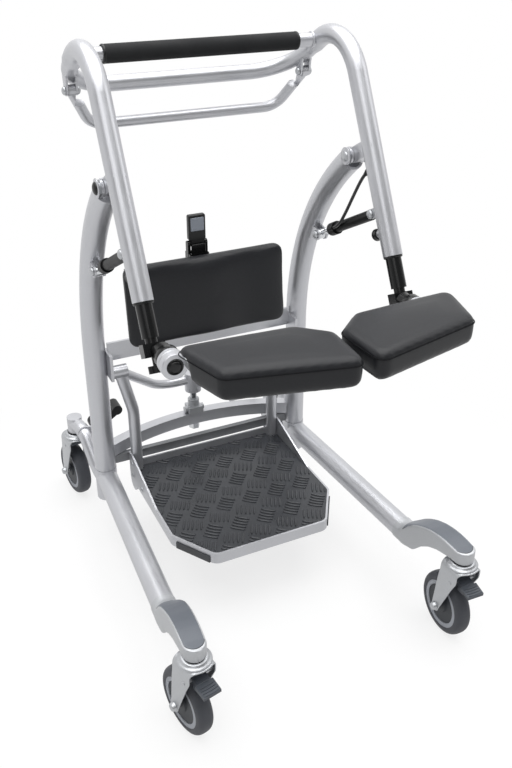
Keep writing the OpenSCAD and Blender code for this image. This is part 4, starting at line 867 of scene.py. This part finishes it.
class AID_OT_castors(bpy.types.Operator):
    """Pressed forks, tyres, hub covers, axle heads and pedal ribs of the castors"""

    bl_idname = "aid.castors"
    bl_label = "Castors"

    axle = np.array([0.0, 0.028, 0.0625])
    wall, half, bend, foot = 0.0030, 0.0270, 0.011, 0.0105
    # Height of the crown under the front housings and under the rear sleeves
    crowns = {"f": 0.1812, "r": 0.1725}
    # Front and rear edge of the fork at the axle, at two heights below the crown, and at the crown
    below = (0.045, 0.024)
    edges = mm([[17.5, -12.0, -22.0, -23.0], [38.5, 31.0, 27.5, 26.0]])
    front_lip, rear_lip = 0.0085, 0.004
    # Turned profiles in millimetres, radius and distance along the axis
    disc = mm([[38.8, 6.0], [38.8, 12.6], [38.0, 13.3], [34.0, 13.0], [17.0, 13.2], [15.0, 16.0], [6.2, 16.2],
                     [6.2, 15.6], [14.2, 15.5], [14.2, 6.0]])
    head = mm([[0.4, 15.0], [4.9, 15.0], [4.9, 26.6], [8.8, 26.6], [8.8, 28.4], [7.9, 29.6], [7.5, 32.0],
                     [6.2, 33.6], [3.0, 34.2], [0.4, 34.3]])
    pin = mm([[0.4, -28.6], [3.0, -28.4], [4.0, -27.4], [4.0, 27.4], [3.0, 28.4], [0.4, 28.6]])
    dish = mm([[8.2, -2.0], [28.6, -2.0], [29.4, -0.6], [29.4, 1.0], [28.4, 2.4], [26.0, 3.4], [24.0, 5.0],
                     [23.0, 7.0], [21.8, 7.8], [8.2, 7.8]])
    # Black ring inside the swivel cup: painted shade of the dark bearing gap under the housing nose and the rear
    # sleeve
    shade_ring = mm([[8.2, 7.6], [18.6, 7.6], [18.6, 10.2], [8.2, 10.2]])

    def execute(self, context):
        for name, (x, back, swivel, way) in CASTORS.items():
            turn = math.radians(swivel)
            self.c, self.s, self.stem = math.cos(turn), math.sin(turn), place(x, back, 0.0)
            top = self.crowns[name[0]]
            crown, hinge = (0.0, 0.0, top), (0.0, -0.006 * way, 0.147)
            fork, wheel = "castor_" + name, "wheel_" + name
            zinc, black = ("zinc", "zinc"), ("black_abs", "black_plastic")
            for label, rings, look, *rest in (
                    ("fork_" + name, self.fork(top), zinc, fork, False, "castor_fork_" + name),
                    ("swivel_cup_" + name, turned(self.dish, crown, Z_AXIS, 64), zinc, fork, True),
                    # A black ring that stands in for the shade in the bearing gap
                    ("swivel_seal_" + name, turned(self.shade_ring, crown, Z_AXIS, 48), black, fork, True),
                    ("axle_heads_" + name, self.pair(self.head, 32), zinc, fork),
                    ("pedal_pin_" + name, turned(self.pin, hinge, X_AXIS, 24), zinc, fork),
                    ("tyre_" + name + "_round", turned(self.tyre(), self.axle, X_AXIS, 96), ("tyre", "tyre_rubber"),
                     wheel, True, "tyre_" + name),
                    ("hub_cover_" + name, self.pair(self.disc, 64), ("hub", "grey_plastic"), wheel, True),
                    ("pedal_ribs_" + name, self.ribs(way), ("pedal", "grey_plastic"), "brake_" + name)):
                part(label, self.local(rings), *look, *rest)
        return {"FINISHED"}

    def pair(self, profile, n):
        """A profile turned about the axle on both sides of the wheel."""
        return np.stack([turned(profile, self.axle, X_AXIS * k, n) for k in (-1.0, 1.0)])

    def tyre(self):
        """Profile of the tyre: half a rounded square, sine and cosine to the power 0.72, closed inside the rim."""
        t = np.linspace(0, np.pi, 21)
        across = np.sign(np.cos(t)) * abs(np.cos(t)) ** 0.72
        tread = join(0.0485 + 0.0140 * np.sin(t) ** 0.72, 0.0155 * across)
        return np.vstack([[0.0470, 0.0150], tread, [0.0470, -0.0150]])

    def ribs(self, way):
        """Four bars across the brake pedal, which slopes down by 5 mm in 24."""
        t = np.linspace(0.30, 0.92, 4)
        centres = join(0.0, -0.026 - 0.024 * t, 0.150 - 0.005 * t)
        return bars(centres, np.zeros(4), 0.030, 0.0026, 0.0014) * [1.0, way, 1.0]

    def fork(self, crown):
        """Rings of a bent strip: a path goes up one leg, round a bend, over the crown and down the other leg, and at
        each of its points a thin box with round edges lies square to it. The strip is widest over the crown, with
        a bowed lip, and narrows to a half circle round the axle."""
        mid, top = self.half - self.wall / 2, crown - self.wall / 2
        foot = self.foot
        z = np.concatenate([self.axle[2] - foot * np.cos(np.linspace(0.2, np.pi / 2, 8)),
                            np.linspace(self.axle[2], top - self.bend, 22)[1:]])
        turn = np.linspace(0, np.pi / 2, 10)[1:]
        x = np.linspace(-mid + self.bend, 0.0, 8)[1:]
        bend = join(-mid + self.bend * (1 - np.cos(turn)), top - self.bend * (1 - np.sin(turn)))
        path = np.concatenate([join(-mid, z), bend, join(x, top)])
        heights = [self.axle[2], top - self.below[0], top - self.below[1], top]
        front, rear = (np.interp(path[:, 1], heights, edge) for edge in self.edges)
        lip = np.clip(1 - (path[:, 0] / mid) ** 2, 0, 1) * (path[:, 1] > top - self.bend)
        front, rear = front - self.front_lip * lip, rear + self.rear_lip * lip
        under = np.clip((self.axle[2] - path[:, 1]) / foot, 0, 0.985)
        low = path[:, 1] < self.axle[2]
        front = np.where(low, self.axle[1] - foot * np.sqrt(1 - under ** 2), front)
        rear = np.where(low, self.axle[1] + foot * np.sqrt(1 - under ** 2), rear)
        path = np.vstack([path, path[-2::-1] * [-1.0, 1.0]])
        front, rear = np.append(front, front[-2::-1]), np.append(rear, rear[-2::-1])
        u = unit(np.gradient(path, axis=0))
        box = round_box(rear - front, np.full(len(path), self.wall), np.full(len(path), 0.45 * self.wall), 5)
        y = box[..., 0] + ((front + rear) / 2)[:, None]
        return join(path[:, :1] - u[:, 1:] * box[..., 1], y, path[:, 1:] + u[:, :1] * box[..., 1])

    def local(self, p):
        """From the castor's own frame, wheel trailing along y, to the row frame."""
        x, y, z = np.moveaxis(p, -1, 0)
        return join(x * self.c - y * self.s, x * self.s + y * self.c, z) + self.stem


class AID_OT_fastenings(bpy.types.Operator):
    """Domed bolt heads at the pivots and screws in the footplate"""

    bl_idname = "aid.fastenings"
    bl_label = "Fastenings"

    # Places behind the front stems and heights of the cross pins and of the screws in the tray's side
    pivot, arm_pin, base_pin = (0.395929, 0.848068), (0.317, 0.761), (0.512, 0.660)
    release_pin = (0.598, 0.965)
    screws = [(0.520, 0.142), (0.578, 0.172), (0.578, 0.142)]
    washer = mm([[0.2, -0.4], [15.4, -0.4], [16.2, 0.4], [16.2, 1.5], [15.4, 2.1], [0.2, 2.1]])

    def execute(self, context):
        t = np.linspace(0, 1.5, 10)
        dome = np.vstack([[1.0, -0.12], join(np.cos(t), np.sin(t))])
        self.caps("pivot_washers", "frame", self.pivot, SIDE_X, 0.0200, self.washer, key="silver",
                  slot="silver_frame")
        # The outer domes are black as a painted dark reflection of domed chrome nuts; the inner ends stay zinc
        self.caps("pivot_caps_painted_reflection", "frame", self.pivot, SIDE_X, 0.0222, dome * [0.0110, 0.0055], (1.0,), "black_abs",
                  "black_plastic")
        self.caps("pivot_nuts", "frame", self.pivot, SIDE_X, 0.0222, dome * [0.0095, 0.0045], (-1.0,))
        self.caps("strut_base_heads", "frame", self.base_pin, SIDE_X, 0.0118, dome * [0.0085, 0.0060])
        self.caps("strut_arm_heads", "handle_frame", self.arm_pin, SIDE_X, 0.0118, dome * [0.0085, 0.0055])
        self.caps("release_pin_heads", "handle_frame", self.release_pin, 0.230, 0.0118, dome * [0.0075, 0.0050])
        rings = [turned(dome * [0.0055, 0.0030], place(s * 0.180, *at), X_AXIS * s, 24)
                 for s in SIDES.values() for at in self.screws]
        part("tray_screws", np.stack(rings), "zinc", "zinc", "frame")
        return {"FINISHED"}

    def caps(self, name, body, at, x, out, profile, ends=(-1.0, 1.0), key="zinc", slot="zinc"):
        """Turned heads on the inner (-1) and outer (1) ends of a cross pin, on both sides of the aid."""
        rings = [turned(profile, place(s * (x + k * out), *at), X_AXIS * s * k, 28)
                 for s in SIDES.values() for k in ends]
        part(name, np.stack(rings), key, slot, body)


class AID_OT_trim(bpy.types.Operator):
    """Grip rings, weld beads, post bushes, plugs, knob tops and the lever panel"""

    bl_idname = "aid.trim"
    bl_label = "Trim"

    # Rings round the grip: half thickness and half width, radius, distance from the middle, finish and slot
    grip_rings = {"grip_welds": ([0.0022, 0.0022], 0.0128, 0.2155, "silver", "silver_frame"),
                  "grip_end_rings": ([0.0014, 0.0026], 0.0150, 0.1830, "black_abs", "black_plastic")}
    # Turned profiles in millimetres, radius and distance along the axis
    bush = mm([[14.5, 0.0], [14.5, 4.0], [16.0, 4.0], [17.0, 2.6], [17.0, 0.0]])
    knob = mm([[11.3, 0.2], [11.3, 2.0], [10.6, 3.4], [8.0, 4.6], [4.0, 5.2], [0.4, 5.4]])
    plug = mm([[13.6, -1.0], [13.6, 1.4], [12.6, 2.4], [11.4, 1.9], [10.6, 1.2], [9.6, 1.5], [8.6, 2.9],
                     [5.0, 3.8], [0.4, 4.1]])
    sleeve = mm([[13.8, -0.8], [20.6, -0.8], [21.8, 0.4], [21.8, 12.0], [20.8, 12.8], [20.8, 13.8],
                       [21.6, 14.6], [21.6, 22.0], [20.6, 23.0], [13.8, 23.0]])
    collar = mm([[18.8, 23.2], [20.0, 23.2], [20.4, 24.0], [20.4, 38.6], [19.6, 39.6], [18.8, 39.6]])
    # Lever: height, half width and half depth in millimetres, from the round foot on its pin up to the blade
    rows = mm([[638.8, 14.9, 1.6], [639.6, 15.0, 3.5], [641.2, 15.0, 5.2], [643.2, 15.0, 6.2],
                     [645.0, 15.0, 6.45], [651.9, 15.0, 6.45], [653.2, 17.2, 6.45], [655.0, 18.3, 6.45],
                     [701.0, 18.3, 6.45], [703.4, 17.9, 6.0], [704.6, 17.0, 5.0], [705.0, 15.5, 3.6]])

    def execute(self, context):
        t = np.linspace(0, 2 * np.pi, 13)[:-1]
        bead = join(np.cos(t), np.sin(t))
        low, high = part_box("grip_sleeve")
        grip = np.array([0.0, (low[1] + high[1]) / 2, (low[2] + high[2]) / 2])
        for name, (half, radius, x, key, slot) in self.grip_rings.items():
            rings = [turned(bead * half + [radius, 0.0], grip + X_AXIS * s * x, X_AXIS, 40) for s in SIDES.values()]
            part(name, np.stack(rings), key, slot, "handle_frame", loop=True)
        for side, s in SIDES.items():
            arm_low = place(s * SIDE_X, 0.253, 0.702)
            top = arm_low + ARM_DIR * 0.044 + ARM_BACK * 0.0366
            hinge = place(s * 0.225, 0.140, 0.639)
            part("post_bush_" + side, turned(self.bush, arm_low, -ARM_DIR, 40), "black_abs", "black_plastic",
                 "handle_frame", loop=True)
            part("index_knob_top_" + side, turned(self.knob, top, ARM_BACK, 32), "black_abs", "black_plastic",
                 "index_knob_" + side)
            part("hinge_ring_" + side, turned(self.sleeve, hinge, Y_AXIS, 56), "silver", "silver_frame",
                 "seat_" + side, loop=True)
            part("hinge_collar_" + side, turned(self.collar, hinge, Y_AXIS, 56), "satin_black", "black_metal",
                 "seat_" + side, loop=True)
            part("hinge_plug_" + side, turned(self.plug, hinge, -Y_AXIS, 48), "satin_black", "black_metal",
                 "seat_post_" + side)
        part("lever_body", self.lever(), "black_abs", "black_plastic", "knee_lever", instead_of="knee_lever")
        part("lever_panel", self.plate((14.3, 672.0, 699.5), (604.0, 602.7, 602.1)), "panel", "grey_plastic",
             "knee_lever")
        part("lever_gap_cover", self.plate((15.3, 618.0, 645.5), (601.8, 598.6, 598.0)), "satin_black", "black_metal",
             "knee_rest")
        return {"FINISHED"}

    def lever(self):
        """Release lever: boxes with round corners, wider at the blade than between the carriage's ears."""
        z, half, deep = self.rows.T
        box = round_box(2 * half, 2 * deep, np.minimum(0.002, 0.9 * deep), 5)
        return join(box[..., 0], box[..., 1], z[:, None]) + place(0.0, 0.610, 0.0)

    def plate(self, sizes, backs):
        """Upright plate facing forwards: a rounded outline (half width, foot and top in millimetres) carried from
        the rear face to the front one through the given back positions, the last ring drawn in by 0.6 mm."""
        half, foot, top = sizes
        face = rounded(mm([[half, foot], [half, top], [-half, top], [-half, foot]]), 0.002, 4)
        face = np.stack([face + inward(face) * k for k in (0.0, 0.0, 0.0006)])
        out = mm(backs) - MID_BACK
        return join(face[..., 0], out[:, None], face[..., 1])


STEPS = [AID_OT_stage, AID_OT_cables, AID_OT_finishes, AID_OT_seats, AID_OT_knee_rest, AID_OT_tread,
         AID_OT_housings, AID_OT_castors, AID_OT_fastenings, AID_OT_trim]


class AID_PT_panel(bpy.types.Panel):
    """Sizes, colours and steps of the transfer aid"""

    bl_idname = "AID_PT_panel"
    bl_label = "Transfer aid"
    bl_space_type = "VIEW_3D"
    bl_region_type = "UI"
    bl_category = "Transfer aid"

    def draw(self, context):
        for group in (context.scene.aid_sizes, context.scene.aid_colours):
            for key in group.__annotations__:
                self.layout.prop(group, key)
        for step in STEPS:
            self.layout.operator(step.bl_idname)


CLASSES = [AidSizes, AidColours] + STEPS + [AID_PT_panel]


def register():
    for kind in CLASSES:
        bpy.utils.register_class(kind)
    bpy.types.Scene.aid_sizes = bpy.props.PointerProperty(type=AidSizes)
    bpy.types.Scene.aid_colours = bpy.props.PointerProperty(type=AidColours)


def unregister():
    del bpy.types.Scene.aid_colours
    del bpy.types.Scene.aid_sizes
    for kind in reversed(CLASSES):
        bpy.utils.unregister_class(kind)


def main():
    register()
    for step in STEPS:
        getattr(bpy.ops.aid, step.bl_idname.split(".")[1])()


if __name__ == "__main__":
    main()
